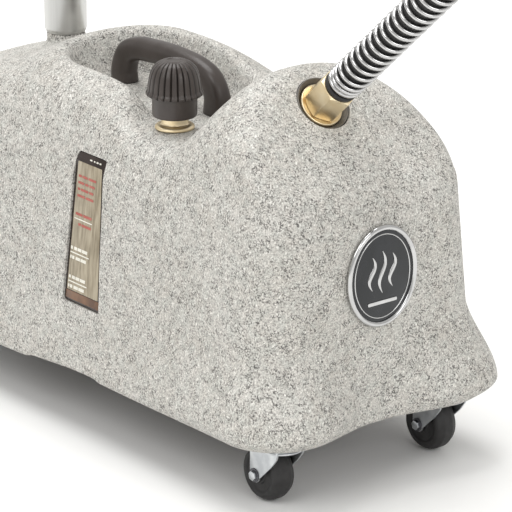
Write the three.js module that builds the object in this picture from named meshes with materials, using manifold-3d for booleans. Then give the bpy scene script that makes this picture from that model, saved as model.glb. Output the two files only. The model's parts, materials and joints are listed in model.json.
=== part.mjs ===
// Commercial rolling garment steamer: a speckled moulded housing on four swivel casters, with a
// water tank and boiler inside, an aluminium hanging pole, and a steam hose up to a hand head.
// Millimetres, +Z up, front towards -Y, origin on the floor under the middle of the housing.
import * as THREE from 'three';
import * as BufferGeometryUtils from 'three/addons/utils/BufferGeometryUtils.js';
import Module from 'manifold-3d';

const wasm = await Module();
wasm.setup();

// ---------------------------------------------------------------- driving dimensions
const GAP = 0.3; // clearance between touching pieces

// Housing
const WALL = 3.5;
const HALF_WIDTH = 109.5; // side wall at the bottom edge
const SIDE_LEAN = 0.11; // side walls lean in, mm per mm of height
const HALF_LENGTH = 224.5; // front wall, which is upright
const REAR_LEAN = 0.05;
const CORNER_RADIUS = 42;
const EDGE_Z = 46.2; // bottom edge over the front feet
const ARCH_RISE = 1.7; // how far the edge lifts between the feet
const REAR_DROP = { height: 6.4, y0: -36, y1: 80 }; // the edge falls towards the rear
const ARCH_HALF = 41; // half length of the lifted stretch
const TOE_X = 7.8; // how far the feet swell sideways
const TOE_Y = 20; // and forwards or backwards
const TOE_CURL = 12; // how far the foot's edge curls back under
const TOE_TOP_Z = 114;
const TOE_FULL_Z = 58;
const SHOULDER_Z = 205; // where the side walls turn into the arched roof
const ROOF_MARGIN = 1; // the roof arch starts this far outside the side walls
const ROOF_POWER = 2; // the higher, the squarer the arch
const FRONT = { y0: -70, y1: -140, power: 2.1, shoulder: 6 }; // the lobe's fuller arch
const RIDGE_Z = 270.7; // ridge over the tank
const LOBE = { y0: -102, y1: -139, rise: 16 }; // front lobe over the ridge
const SADDLE = { y: -60, width: 46, dip: 20 };
const HUMP = { y0: 55, y1: 144, drop: 19.2 }; // from the tank's hump down to the pole
const REAR_SLOPE = 0.3;

// Slanted face of the front lobe, and the hose outlet in it
const FACET_TILT = THREE.MathUtils.degToRad(43.5);
const OUTLET = new THREE.Vector3(0, -162.5, 262);
const OUTLET_TILT = THREE.MathUtils.degToRad(48.5);
const OUTLET_HOLE = 20.5;

// Recess in the roof for the handle, and the scoop round the filler
const DISH = { x: -8, y0: -40, y1: 60, floor: 226, flat: 24, run: 22, rise: 30 };
const FILLER = { x: -51, y: -61.5, z: 230 };
const SCOOP = { x: -115, y: -78, flat: 22.5, run: 20, rise: 26 };

// Pole
const POLE = { y: 139.5, radius: 15.9, wall: 1.5, foot: 248, joint: 1010, top: 1715 };
const BOSS_RADIUS = 14.2;
const SPIGOT_RADIUS = 11;

// Casters
const WHEEL_RADIUS = 20;
const WHEEL_WIDTH = 19;
const CASTER_X = 74;
const CASTER_TRAIL = 14;
const CASTERS = [
  ['front_left', -CASTER_X, -209.5],
  ['front_right', CASTER_X, -209.5],
  ['rear_left', -CASTER_X, 190],
  ['rear_right', CASTER_X, 190],
];
const PLATE_Z = 47.2; // underside of the caster's top plate

// Hose
const HOSE_RADIUS = 10;
const HOSE_START = 30; // along the outlet axis, from the slanted face
const GUARD_LENGTH = 170;
const GUARD_RADIUS = 13;
const HEAD_Y = 84.5; // axis of the hand head when it hangs in its cradle
const HOSE_END_Z = 1424;

// ---------------------------------------------------------------- materials
const material = (color, roughness, metalness = 0) =>
  new THREE.MeshStandardMaterial({ color, roughness, metalness });
const speckled = material(0xcdcbc4, 0.7);
const blackPlastic = material(0x221f1e, 0.45);
const amber = material(0x9c7a4a, 0.3);
const paper = material(0xc9b690, 0.6);
const translucent = material(0xd8d4c6, 0.4);
const rubber = material(0x161616, 0.8);
const brass = material(0xc9a046, 0.25, 1);
const aluminium = material(0xb9bbbd, 0.32, 1);
const steel = material(0xa9abae, 0.35, 1);
const chrome = material(0xd6d8da, 0.12, 1);
const enamel = material(0x16191a, 0.2);
const wood = material(0x8a5a31, 0.5);
const red = material(0xb3221c, 0.3);

const model = new THREE.Group();

// Adds one named piece to the model, or to a group of it.
function add(name, geometry, look, place = {}) {
  const mesh = new THREE.Mesh(geometry, look);
  mesh.name = name;
  mesh.position.set(...(place.at ?? [0, 0, 0]));
  mesh.rotation.set(...(place.turn ?? [0, 0, 0]));
  (place.group ?? model).add(mesh);
  return mesh;
}

// ---------------------------------------------------------------- solids
function toSolid(geometry) {
  const bare = geometry.clone();
  bare.deleteAttribute('normal');
  bare.deleteAttribute('uv');
  const merged = BufferGeometryUtils.mergeVertices(bare, 1e-4);
  return new wasm.Manifold(
    new wasm.Mesh({
      numProp: 3,
      vertProperties: new Float32Array(merged.attributes.position.array),
      triVerts: new Uint32Array(merged.index.array),
    }),
  );
}

function toGeometry(solid) {
  const mesh = solid.getMesh();
  const geometry = new THREE.BufferGeometry();
  geometry.setAttribute('position', new THREE.BufferAttribute(mesh.vertProperties, 3));
  geometry.setIndex(new THREE.BufferAttribute(mesh.triVerts, 1));
  return geometry;
}

const cut = (body, ...tools) =>
  toGeometry(tools.reduce((solid, tool) => solid.subtract(toSolid(tool)), toSolid(body)));
const join = (body, ...others) =>
  toGeometry(others.reduce((solid, other) => solid.add(toSolid(other)), toSolid(body)));

const box = (x, y, z, at = [0, 0, 0]) => new THREE.BoxGeometry(x, y, z).translate(...at);

// A solid of revolution about Z, from [radius, z] pairs.
function turned(profile, segments = 18) {
  const points = profile.map(([r, z]) => new THREE.Vector2(r, z));
  return new THREE.LatheGeometry(points, segments).rotateX(Math.PI / 2);
}

// A plain disc or rod along Z between two heights.
const rod = (radius, z0, z1, segments = 18) =>
  turned([[0, z0], [radius, z0], [radius, z1], [0, z1]], segments);

// A ring or sleeve along Z; its profile closes on itself.
const sleeve = (inner, outer, z0, z1, segments = 18) =>
  turned([[inner, z0], [outer, z0], [outer, z1], [inner, z1], [inner, z0]], segments);

// A regular prism along Z, such as a nut.
const prism = (across, z0, z1, sides = 6) => rod(across / 2 / Math.cos(Math.PI / sides), z0, z1, sides);

function ellipse(halfX, halfY, sides) {
  const points = [];
  for (let i = 0; i < sides; i++) {
    const angle = (2 * Math.PI * i) / sides;
    points.push(new THREE.Vector2(halfX * Math.cos(angle), halfY * Math.sin(angle)));
  }
  return new THREE.Shape(points);
}

const along = (shape, path, steps) =>
  new THREE.ExtrudeGeometry(shape, { extrudePath: path, steps, bevelEnabled: false });

const curve = (points) =>
  new THREE.CatmullRomCurve3(points.map((p) => new THREE.Vector3(...p)), false, 'catmullrom', 0.5);

function roundedRectangle(halfX, halfY, radius) {
  const shape = new THREE.Shape();
  shape.moveTo(halfX - radius, -halfY);
  shape.absarc(halfX - radius, -halfY + radius, radius, -Math.PI / 2, 0, false);
  shape.absarc(halfX - radius, halfY - radius, radius, 0, Math.PI / 2, false);
  shape.absarc(-halfX + radius, halfY - radius, radius, Math.PI / 2, Math.PI, false);
  shape.absarc(-halfX + radius, -halfY + radius, radius, Math.PI, 1.5 * Math.PI, false);
  return shape;
}

function slab(shape, z0, z1, curveSegments = 6) {
  const options = { depth: z1 - z0, bevelEnabled: false, curveSegments };
  return new THREE.ExtrudeGeometry(shape, options).translate(0, 0, z0);
}

// ---------------------------------------------------------------- housing form
function smoothstep(from, to, value) {
  const t = Math.min(Math.max((value - from) / (to - from), 0), 1);
  return t * t * (3 - 2 * t);
}

// The larger of two fields, with a rounded crease of about the given width.
function blendMax(a, b, width) {
  const overlap = Math.max(width - Math.abs(a - b), 0) / width;
  return Math.max(a, b) + (overlap * overlap * width) / 4;
}

// Ramps up from 0 with slope 1, rounded over the given length.
const ramp = (t, rounding) => (t + Math.hypot(t, rounding)) / 2;

// Height of the roof's ridge at a station along the body.
function ridge(y) {
  const dip = SADDLE.dip * Math.exp(-(((y - SADDLE.y) / SADDLE.width) ** 2));
  const lobe = LOBE.rise * smoothstep(LOBE.y0, LOBE.y1, y);
  const hump = HUMP.drop * smoothstep(HUMP.y0, HUMP.y1, y);
  return RIDGE_Z - hump - REAR_SLOPE * ramp(y - 110, 40) - dip + lobe;
}

function distanceToSegment(x, y, x0, y0, x1, y1) {
  const length = Math.hypot(x1 - x0, y1 - y0);
  const t = ((x - x0) * (x1 - x0) + (y - y0) * (y1 - y0)) / (length * length);
  const s = Math.min(Math.max(t, 0), 1);
  return Math.hypot(x - x0 - s * (x1 - x0), y - y0 - s * (y1 - y0));
}

// Above zero over a flat-bottomed hollow whose sides rise as a parabola.
function hollow(distance, z, floor, { flat, run, rise }) {
  const s = Math.max(distance - flat, 0) / run;
  const slope = (2 * rise * s) / run;
  return (z - floor - rise * s * s) / Math.hypot(1, slope);
}

// Distance outside the arch of the roof, a superellipse that fades out below the shoulder.
function archField(across, height, span, rise, power) {
  const a = Math.max(across / span, 1e-6);
  const b = Math.max(height, 0) / rise;
  const size = (a ** power + b ** power) ** (1 / power);
  const steepness = Math.hypot(a ** (power - 1) / span, b ** (power - 1) / rise);
  return (size - 1) / (size ** (1 - power) * steepness) + Math.min(height, 0);
}

// Below zero inside the housing's outer form, which runs on downwards past its bottom edge.
function housingField(x, y, z) {
  const spread = smoothstep(TOE_TOP_Z, TOE_FULL_Z, z);
  const curl = TOE_CURL * smoothstep(TOE_FULL_Z, EDGE_Z - 4, z);
  const toeX = smoothstep(70, 195, Math.abs(y)) * (TOE_X * spread - curl);
  const toeY = smoothstep(5, 65, Math.abs(x)) * (TOE_Y * spread - curl);
  const halfX = HALF_WIDTH - SIDE_LEAN * (z - EDGE_Z) + toeX;
  const halfY = HALF_LENGTH - (y > 0 ? REAR_LEAN * (z - EDGE_Z) : 0) + toeY;
  const qx = Math.abs(x) - halfX + CORNER_RADIUS;
  const qy = Math.abs(y) - halfY + CORNER_RADIUS;
  const wall = Math.hypot(Math.max(qx, 0), Math.max(qy, 0)) + Math.min(Math.max(qx, qy), 0) - CORNER_RADIUS;

  const front = smoothstep(FRONT.y0, FRONT.y1, y);
  const shoulder = SHOULDER_Z + FRONT.shoulder * front;
  const power = ROOF_POWER + (FRONT.power - ROOF_POWER) * front;
  const rise = Math.max(ridge(y) - shoulder, 1);
  const roof = archField(Math.abs(x), z - shoulder, halfX + ROOF_MARGIN, rise, power);
  const slant = (z - OUTLET.z) * Math.cos(FACET_TILT) - (y - OUTLET.y) * Math.sin(FACET_TILT);
  const dish = hollow(distanceToSegment(x, y, DISH.x, DISH.y0, DISH.x, DISH.y1), z, DISH.floor, DISH);
  const scoop = hollow(distanceToSegment(x, y, FILLER.x, FILLER.y, SCOOP.x, SCOOP.y), z, FILLER.z, SCOOP);

  let field = blendMax(wall, roof, 16 + 20 * smoothstep(100, 200, y));
  field = blendMax(field, slant, 13);
  field = blendMax(field, dish, 8.7);
  return blendMax(field, scoop, 14);
}

// Height of the housing's bottom edge, lifted between the feet.
function edgeHeight(y) {
  const lift = ARCH_RISE * smoothstep(ARCH_HALF + 5, ARCH_HALF - 5, Math.abs(y));
  return EDGE_Z + lift - REAR_DROP.height * smoothstep(REAR_DROP.y0, REAR_DROP.y1, y);
}

// A closed mesh of field = 0: one point in each grid cell that the surface crosses, drawn onto it.
function skin(field, low, high, cell) {
  const count = [0, 1, 2].map((k) => Math.ceil((high[k] - low[k]) / cell) + 1);
  const index = (i, j, k) => (k * count[1] + j) * count[0] + i;
  const values = new Float64Array(count[0] * count[1] * count[2]);
  const place = (i, j, k) => [low[0] + i * cell, low[1] + j * cell, low[2] + k * cell];
  for (let k = 0; k < count[2]; k++) {
    for (let j = 0; j < count[1]; j++) {
      for (let i = 0; i < count[0]; i++) values[index(i, j, k)] = field(...place(i, j, k));
    }
  }

  const corners = [[0, 0, 0], [1, 0, 0], [0, 1, 0], [1, 1, 0], [0, 0, 1], [1, 0, 1], [0, 1, 1], [1, 1, 1]];
  const edges = [
    [0, 1], [2, 3], [4, 5], [6, 7],
    [0, 2], [1, 3], [4, 6], [5, 7],
    [0, 4], [1, 5], [2, 6], [3, 7],
  ];
  const points = [];
  const pointOf = new Map();
  const pointIn = (i, j, k) => {
    const key = index(i, j, k);
    if (pointOf.has(key)) return pointOf.get(key);
    const sum = new THREE.Vector3();
    let crossings = 0;
    for (const [a, b] of edges) {
      const [from, to] = [corners[a], corners[b]];
      const va = values[index(i + from[0], j + from[1], k + from[2])];
      const vb = values[index(i + to[0], j + to[1], k + to[2])];
      if (va < 0 === vb < 0) continue;
      const t = va / (va - vb);
      sum.add(new THREE.Vector3(...from).lerp(new THREE.Vector3(...to), t));
      crossings++;
    }
    sum.divideScalar(crossings).add(new THREE.Vector3(i, j, k)).multiplyScalar(cell);
    sum.add(new THREE.Vector3(...low));
    for (let step = 0; step < 3; step++) settle(field, sum, cell);
    pointOf.set(key, points.length / 3);
    points.push(sum.x, sum.y, sum.z);
    return pointOf.get(key);
  };

  const triangles = [];
  for (let k = 1; k < count[2] - 1; k++) {
    for (let j = 1; j < count[1] - 1; j++) {
      for (let i = 1; i < count[0] - 1; i++) {
        const here = values[index(i, j, k)] < 0;
        const around = [
          [values[index(i + 1, j, k)] < 0, [0, -1, -1], [0, 0, -1], [0, 0, 0], [0, -1, 0]],
          [values[index(i, j + 1, k)] < 0, [-1, 0, -1], [-1, 0, 0], [0, 0, 0], [0, 0, -1]],
          [values[index(i, j, k + 1)] < 0, [-1, -1, 0], [0, -1, 0], [0, 0, 0], [-1, 0, 0]],
        ];
        for (const [there, ...cells] of around) {
          if (here === there) continue;
          const q = cells.map(([di, dj, dk]) => pointIn(i + di, j + dj, k + dk));
          if (!here) q.reverse();
          triangles.push(q[0], q[1], q[2], q[0], q[2], q[3]);
        }
      }
    }
  }
  const geometry = new THREE.BufferGeometry();
  geometry.setAttribute('position', new THREE.BufferAttribute(new Float32Array(points), 3));
  geometry.setIndex(triangles);
  return geometry;
}

// Moves a point one step along the field's slope towards field = 0.
function settle(field, point, cell) {
  const h = 0.05;
  const value = field(point.x, point.y, point.z);
  const slope = new THREE.Vector3(
    field(point.x + h, point.y, point.z) - field(point.x - h, point.y, point.z),
    field(point.x, point.y + h, point.z) - field(point.x, point.y - h, point.z),
    field(point.x, point.y, point.z + h) - field(point.x, point.y, point.z - h),
  ).divideScalar(2 * h);
  const step = Math.min(Math.max(value / Math.max(slope.lengthSq(), 0.1), -cell / 3), cell / 3);
  point.addScaledVector(slope, -step);
}

// ---------------------------------------------------------------- placed frames
// Outlet frame: local Z runs out of the hose outlet.
const outlet = new THREE.Group();
outlet.position.copy(OUTLET);
outlet.rotation.x = OUTLET_TILT;
outlet.updateMatrix();
model.add(outlet);

// Window frame on the left wall: local X towards the front, Y up the wall, Z outwards.
const WINDOW = { y: -18, z: 151, height: 110, topHalf: 16.5, bottomHalf: 20, radius: 3 };
const lean = Math.atan(SIDE_LEAN);
const sight = new THREE.Group();
sight.position.set(-(HALF_WIDTH - SIDE_LEAN * (WINDOW.z - EDGE_Z)), WINDOW.y, WINDOW.z);
sight.quaternion.setFromRotationMatrix(
  new THREE.Matrix4().makeBasis(
    new THREE.Vector3(0, -1, 0),
    new THREE.Vector3(Math.sin(lean), 0, Math.cos(lean)),
    new THREE.Vector3(-Math.cos(lean), 0, Math.sin(lean)),
  ),
);
sight.updateMatrix();
model.add(sight);

// Rear panel frame: local X to the right, Y down, Z out of the rear wall.
const REAR_PANEL_Z = 125;
const rear = new THREE.Group();
rear.position.set(0, HALF_LENGTH - REAR_LEAN * (REAR_PANEL_Z - EDGE_Z), REAR_PANEL_Z);
rear.rotation.x = Math.atan(REAR_LEAN) - Math.PI / 2;
rear.updateMatrix();
model.add(rear);

const inFrame = (group, geometry) => geometry.applyMatrix4(group.matrix);

function trapezoid(grow) {
  const top = WINDOW.topHalf + grow;
  const bottom = WINDOW.bottomHalf + grow;
  const half = WINDOW.height / 2 + grow;
  return new THREE.Shape([
    new THREE.Vector2(-bottom, -half),
    new THREE.Vector2(bottom, -half),
    new THREE.Vector2(top, half),
    new THREE.Vector2(-top, half),
  ]);
}

// ---------------------------------------------------------------- housing
const LIMIT_LOW = [-140, -270, 10];
const LIMIT_HIGH = [140, 270, 310];
const OUTER_CELL = 18;
const INNER_CELL = 24;
const SWITCH_OPENING = [22.6, 15.6];
const LAMP_DROP = -26; // in the rear panel frame
const GLAND_DROP = 46;
const LENS_FRONT = -1.5; // the window's face, set back from the wall
const FLANGE_FRONT = -WALL + 0.5; // its flange sits in a shallow rebate inside the wall
const HANDLE_FEET = [['front', -44.5], ['rear', 66]];
const HANDLE_FOOT_Z = DISH.floor + GAP;

function housingShell() {
  const outerField = (x, y, z) => Math.max(housingField(x, y, z), edgeHeight(y) - z);
  const innerField = (x, y, z) => Math.max(housingField(x, y, z) + WALL, 24 - z);
  const outer = skin(outerField, LIMIT_LOW, LIMIT_HIGH, OUTER_CELL);
  const inner = skin(innerField, [LIMIT_LOW[0], LIMIT_LOW[1], -10], LIMIT_HIGH, INNER_CELL);
  const screwRooms = HANDLE_FEET.flatMap(([, y]) => [
    rod(7, 205, DISH.floor - WALL, 16).translate(0, y, 0),
    rod(2.6, 215, 235, 12).translate(0, y, 0),
    rod(13, DISH.floor, 245, 16).translate(0, y, 0),
  ]);
  const boss = rod(BOSS_RADIUS, POLE.foot - 25, POLE.foot - GAP).translate(0, POLE.y, 0);
  return cut(
    join(outer, boss),
    inner,
    inFrame(outlet, rod(OUTLET_HOLE, -18, 18, 20)),
    rod(11, 215, 240).translate(FILLER.x, FILLER.y, 0),
    rod(15, FILLER.z, 262).translate(FILLER.x, FILLER.y, 0),
    rod(SPIGOT_RADIUS + GAP, 190, 262).translate(0, POLE.y, 0),
    inFrame(sight, slab(trapezoid(GAP), -12, 8)),
    inFrame(sight, slab(trapezoid(4 + GAP), -12, FLANGE_FRONT + GAP)),
    inFrame(rear, box(SWITCH_OPENING[0], SWITCH_OPENING[1], 20)),
    inFrame(rear, rod(5.3, -10, 10, 16).translate(0, LAMP_DROP, 0)),
    inFrame(rear, rod(7.3, -12, 12, 16).translate(0, GLAND_DROP, 0)),
    inFrame(rear, box(32, 104, 20, [0, 7, 10 + GAP])),
    ...screwRooms,
  );
}
add('housing_shell', housingShell(), speckled);

const PAN_Z = 50;
const PAN_TOP = 53;
const PAN_SWAGE = 1.5; // the pan's middle is pressed down between the casters
const BRACKET_SCREWS = [['left', -36], ['right', 36]];
const BOILER = { y: -150, radius: 45, floor: 62, top: 170, wall: 2 };
const panHoles = BRACKET_SCREWS.map(([, x]) => rod(2.6, 40, 60, 12).translate(x, BOILER.y, 0));
const panRim = slab(roundedRectangle(103.5, 218.5, 38), PAN_Z, PAN_TOP);
const panSwage = slab(roundedRectangle(80, 130, 20), PAN_Z - PAN_SWAGE, PAN_TOP).translate(0, 15, 0);
add('base_pan', cut(join(panRim, panSwage), ...panHoles), blackPlastic);

// ---------------------------------------------------------------- tank and filler
const TANK = { y: 41.5, halfX: 82, halfY: 128.5, floor: 56, top: 192, wall: 3, radius: 45 };

function waterTank() {
  const shape = (inset) => roundedRectangle(TANK.halfX - inset, TANK.halfY - inset, TANK.radius - inset);
  const hollowPart = slab(shape(TANK.wall), TANK.floor + TANK.wall, TANK.top - TANK.wall);
  return cut(
    slab(shape(0), TANK.floor, TANK.top).translate(0, TANK.y, 0),
    hollowPart.translate(0, TANK.y, 0),
    rod(10.2, TANK.top - 10, TANK.top + 10, 16).translate(FILLER.x, FILLER.y, 0),
  );
}
add('water_tank', waterTank(), translucent);

function sightWindow() {
  const lens = slab(trapezoid(0), FLANGE_FRONT - 1, LENS_FRONT);
  return join(lens, slab(trapezoid(4), FLANGE_FRONT - 2, FLANGE_FRONT));
}
add('sight_window', sightWindow(), amber, { group: sight });
add('level_scale', slab(trapezoid(-3), FLANGE_FRONT - 3, FLANGE_FRONT - 2 - GAP), paper, { group: sight });

const atFiller = { at: [FILLER.x, FILLER.y, FILLER.z] };
const NECK_TOP = 20;
const fillerNeck = [
  [7.5, -40], [9.5, -40], [9.5, GAP], [14, GAP], [14, 2], [12.5, 2.8],
  [9.5, 3.2], [9.5, NECK_TOP], [7.5, NECK_TOP], [7.5, -40],
];
add('filler_neck', turned(fillerNeck), brass, atFiller);
add('cap_seal', rod(9, NECK_TOP + GAP, NECK_TOP + 2, 16), rubber, atFiller);
const capProfile = [
  [10, 9.2], [15.9, 9.2], [15.9, 24.5], [20.1, 24.5], [20.1, 26.5], [18.9, 34], [18.2, 40], [16, 46.5],
  [11.5, 50.5], [6, 52], [0, 52], [0, NECK_TOP + 2.4], [10, NECK_TOP + 2.4], [10, 9.2],
];
add('filler_cap', turned(capProfile, 20), blackPlastic, atFiller);

// ---------------------------------------------------------------- carry handle
function carryHandle() {
  const path = curve([
    [0, 66, HANDLE_FOOT_Z], [0, 66, 236], [0, 60.5, 248], [0, 48, 254], [0, 30, 256], [0, 9, 257],
    [0, -10, 256.5], [0, -27, 254.5], [0, -38.5, 249], [0, -44.5, 238], [0, -44.5, HANDLE_FOOT_Z],
  ]);
  const holes = HANDLE_FEET.map(([, y]) => rod(2.8, 220, 236, 12).translate(0, y, 0));
  return cut(along(ellipse(7.6, 9.6, 12), path, 22), ...holes);
}
add('carry_handle', carryHandle(), blackPlastic);
for (const [end, y] of HANDLE_FEET) {
  const screw = turned([[0, -4.2], [5, -4.2], [5, -0.6], [2.3, -0.6], [2.3, 12], [0, 12]], 12);
  add(`handle_screw_${end}`, screw, steel, { at: [0, y, DISH.floor - WALL] });
}

// ---------------------------------------------------------------- pole, hook and cradle
const SPIGOT = { bore: 8, bottom: 196, top: 330 };
const atPole = { at: [0, POLE.y, 0] };
const poleBore = POLE.radius - POLE.wall;
const spigotProfile = [
  [SPIGOT.bore, SPIGOT.bottom], [SPIGOT_RADIUS, SPIGOT.bottom], [SPIGOT_RADIUS, POLE.foot],
  [poleBore - GAP, POLE.foot], [poleBore - GAP, SPIGOT.top], [SPIGOT.bore, SPIGOT.top],
  [SPIGOT.bore, SPIGOT.bottom],
];
add('pole_spigot', turned(spigotProfile), steel, atPole);
add('pole_lower', sleeve(poleBore, POLE.radius, POLE.foot, POLE.joint), aluminium, atPole);
const couplingSleeve = sleeve(POLE.radius + GAP, POLE.radius + 2, POLE.joint - 20, POLE.joint + 20);
add('pole_coupling', couplingSleeve, blackPlastic, atPole);
add('pole_upper', sleeve(poleBore, POLE.radius, POLE.joint + GAP, POLE.top), aluminium, atPole);

const HOOK = { z: 1736, half: 140, radius: 4, rise: 30 };
const capBore = rod(HOOK.radius + GAP, -30, 30, 16).rotateY(Math.PI / 2).translate(0, 0, HOOK.z);
const poleCapProfile = [
  [0, POLE.top + GAP], [POLE.radius, POLE.top + GAP], [POLE.radius, 1722], [12, 1726], [12, 1747], [0, 1750],
];
add('pole_cap', cut(turned(poleCapProfile), capBore), blackPlastic, atPole);

function hangerHook() {
  const rightArm = [
    [HOOK.half + 12, 0, HOOK.rise], [HOOK.half + 6, 0, 12], [HOOK.half - 6, 0, 2], [HOOK.half - 30, 0, 0],
  ];
  const leftArm = rightArm.map(([x, y, z]) => [-x, y, z]).reverse();
  const path = curve([...rightArm, [40, 0, 0], [0, 0, 0], [-40, 0, 0], ...leftArm]);
  return along(ellipse(HOOK.radius, HOOK.radius, 8), path, 26);
}
add('hanger_hook', hangerHook(), chrome, { at: [0, POLE.y, HOOK.z] });

const CRADLE = { z: 1630, top: 1634, half: 22, slot: 11.5, front: 66, ringHalf: 13 };
function headCradle() {
  const plate = new THREE.Shape();
  plate.moveTo(-CRADLE.half, POLE.y);
  plate.lineTo(-CRADLE.half, CRADLE.front);
  plate.lineTo(-CRADLE.slot, CRADLE.front);
  plate.lineTo(-CRADLE.slot, HEAD_Y);
  plate.absarc(0, HEAD_Y, CRADLE.slot, Math.PI, 0, true);
  plate.lineTo(CRADLE.slot, CRADLE.front);
  plate.lineTo(CRADLE.half, CRADLE.front);
  plate.lineTo(CRADLE.half, POLE.y);
  const ring = rod(CRADLE.half, CRADLE.z - CRADLE.ringHalf, CRADLE.z + CRADLE.ringHalf);
  ring.translate(0, POLE.y, 0);
  const bore = rod(POLE.radius + GAP, CRADLE.z - 30, CRADLE.z + 30).translate(0, POLE.y, 0);
  return cut(join(slab(plate, CRADLE.z, CRADLE.top, 10), ring), bore);
}
add('head_cradle', headCradle(), blackPlastic);

// ---------------------------------------------------------------- outlet, hose and guard
const inOutlet = { group: outlet };
add('hose_grommet', sleeve(17.6, OUTLET_HOLE - GAP, -8, 0.8, 20), rubber, inOutlet);
const collarProfile = [
  [6, -30], [9, -30], [9, -4], [17.2, -4], [17.2, -1.2],
  [15.5, -0.6], [8.5, -0.6], [8.5, 29], [6, 29], [6, -30],
];
add('outlet_collar', turned(collarProfile, 20), brass, inOutlet);
const NUT_END = 24.2;
const nut = prism(24.5, -0.3, NUT_END).rotateZ(Math.PI / 6);
add('hose_nut', cut(nut, rod(8.8, -5, 30)), brass, inOutlet);
add('hose_ferrule', sleeve(8.8, 11.5, NUT_END + GAP, HOSE_START - GAP), rubber, inOutlet);
add('hose_guard', sleeve(10.7, GUARD_RADIUS, HOSE_START, HOSE_START + GUARD_LENGTH, 20), chrome, inOutlet);

const axis = new THREE.Vector3(0, -Math.sin(OUTLET_TILT), Math.cos(OUTLET_TILT));
const onAxis = (distance) => axis.clone().multiplyScalar(distance).add(OUTLET).toArray();

// From the guard's end the hose bows forwards and climbs to the head.
const HOSE_ROUTE = [
  onAxis(HOSE_START),
  onAxis(HOSE_START + 45),
  onAxis(HOSE_START + 90),
  onAxis(HOSE_START + 135),
  onAxis(HOSE_START + GUARD_LENGTH + 5),
  [0, -367, 453],
  [0, -406, 516],
  [0, -432, 586],
  [0, -445, 660],
  [0, -442, 735],
  [0, -425, 807],
  [0, -394, 876],
  [0, -351, 937],
  [0, -297, 988],
  [0, -239, 1036],
  [0, -182, 1084],
  [0, -125, 1132],
  [0, -67, 1180],
  [0, -10, 1229],
  [0, 40, 1284],
  [0, 72, 1347],
  [0, HEAD_Y - 0.7, 1399],
  [0, HEAD_Y, HOSE_END_Z - GAP],
];
add('steam_hose', along(ellipse(HOSE_RADIUS, HOSE_RADIUS, 10), curve(HOSE_ROUTE), 40), rubber);

// ---------------------------------------------------------------- hand head, hanging in the cradle
const atHead = { at: [0, HEAD_Y, 0] };
function steamHead() {
  const fan = new THREE.Shape();
  fan.moveTo(-24, 0);
  fan.lineTo(24, 0);
  fan.lineTo(68, 48);
  fan.lineTo(72, 66);
  fan.lineTo(66, 78);
  fan.lineTo(-66, 78);
  fan.lineTo(-72, 66);
  fan.lineTo(-68, 48);
  const body = slab(fan, -16, 16).rotateX(Math.PI / 2).translate(0, 0, CRADLE.top + GAP);
  return join(body, rod(9, HOSE_END_Z + 22, CRADLE.top + 5));
}
add('steam_head', steamHead(), aluminium, atHead);
const gripProfile = [
  [9.3, 0], [13, 0], [15, 5], [16, 23], [17.5, 58], [16.5, 93], [15, 113], [12, 121], [9.3, 121], [9.3, 0],
];
add('head_handle', turned(gripProfile), wood, { at: [0, HEAD_Y, HOSE_END_Z + 22] });
add('head_ferrule', rod(12.5, HOSE_END_Z + GAP, HOSE_END_Z + 21.7), brass, atHead);

// ---------------------------------------------------------------- boiler
const atBoiler = { at: [0, BOILER.y, 0] };
const inside = BOILER.radius - BOILER.wall;
const boilerProfile = [
  [0, BOILER.floor], [BOILER.radius, BOILER.floor], [BOILER.radius, BOILER.top], [inside, BOILER.top],
  [inside, BOILER.floor + BOILER.wall], [0, BOILER.floor + BOILER.wall],
];
add('boiler_body', turned(boilerProfile, 20), steel, atBoiler);
const STEAM_HOLE_Y = 18;
const ELEMENT = { half: 20, y: -12, radius: 4, bottom: 85, top: 184 };
const lidHoles = [-ELEMENT.half, ELEMENT.half].map((x) =>
  rod(ELEMENT.radius + 0.5, 160, 190, 12).translate(x, ELEMENT.y, 0),
);
const steamHole = rod(7.5, 160, 190, 10).translate(0, STEAM_HOLE_Y, 0);
const lidDisc = rod(BOILER.radius + 3, BOILER.top + GAP, BOILER.top + 4, 20);
add('boiler_lid', cut(lidDisc, steamHole, ...lidHoles), brass, atBoiler);
const elementPath = curve([
  [-ELEMENT.half, ELEMENT.y, ELEMENT.top], [-ELEMENT.half, ELEMENT.y, 140], [-ELEMENT.half, ELEMENT.y, 105],
  [-12, ELEMENT.y, ELEMENT.bottom], [12, ELEMENT.y, ELEMENT.bottom], [ELEMENT.half, ELEMENT.y, 105],
  [ELEMENT.half, ELEMENT.y, 140], [ELEMENT.half, ELEMENT.y, ELEMENT.top],
]);
add('heating_element', along(ellipse(ELEMENT.radius, ELEMENT.radius, 8), elementPath, 16), steel, atBoiler);
add('thermostat', box(22, 10, 30, [0, -BOILER.radius - 6, 120]), blackPlastic, atBoiler);
add('boiler_bracket', boilerBracket(), steel, atBoiler);
function boilerBracket() {
  const holes = BRACKET_SCREWS.map(([, x]) => rod(2.6, 40, 58, 12).translate(x, 0, 0));
  return cut(sleeve(20, 48, PAN_TOP + GAP, BOILER.floor - GAP), ...holes);
}
for (const [side, x] of BRACKET_SCREWS) {
  const screw = turned([[0, 46.8], [4.5, 46.8], [4.5, 49.7], [2.2, 49.7], [2.2, 57.5], [0, 57.5]], 12);
  add(`bracket_screw_${side}`, screw, steel, { at: [x, BOILER.y, 0] });
}
const steamPath = curve([
  [0, -132, 166], [0, -132, 180], [0, -126.5, 203], [0, -126.5, 220], [0, -130.5, 234], onAxis(-30 - GAP),
]);
add('steam_tube', along(ellipse(6.5, 6.5, 10), steamPath, 10), brass);
const FEED_Z = 75;
const feedStart = BOILER.y + BOILER.radius + GAP;
const feedEnd = TANK.y - TANK.halfY - GAP;
add('feed_tube', rod(5, feedStart, feedEnd, 12).rotateX(-Math.PI / 2), brass, { at: [0, 0, FEED_Z] });

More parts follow.
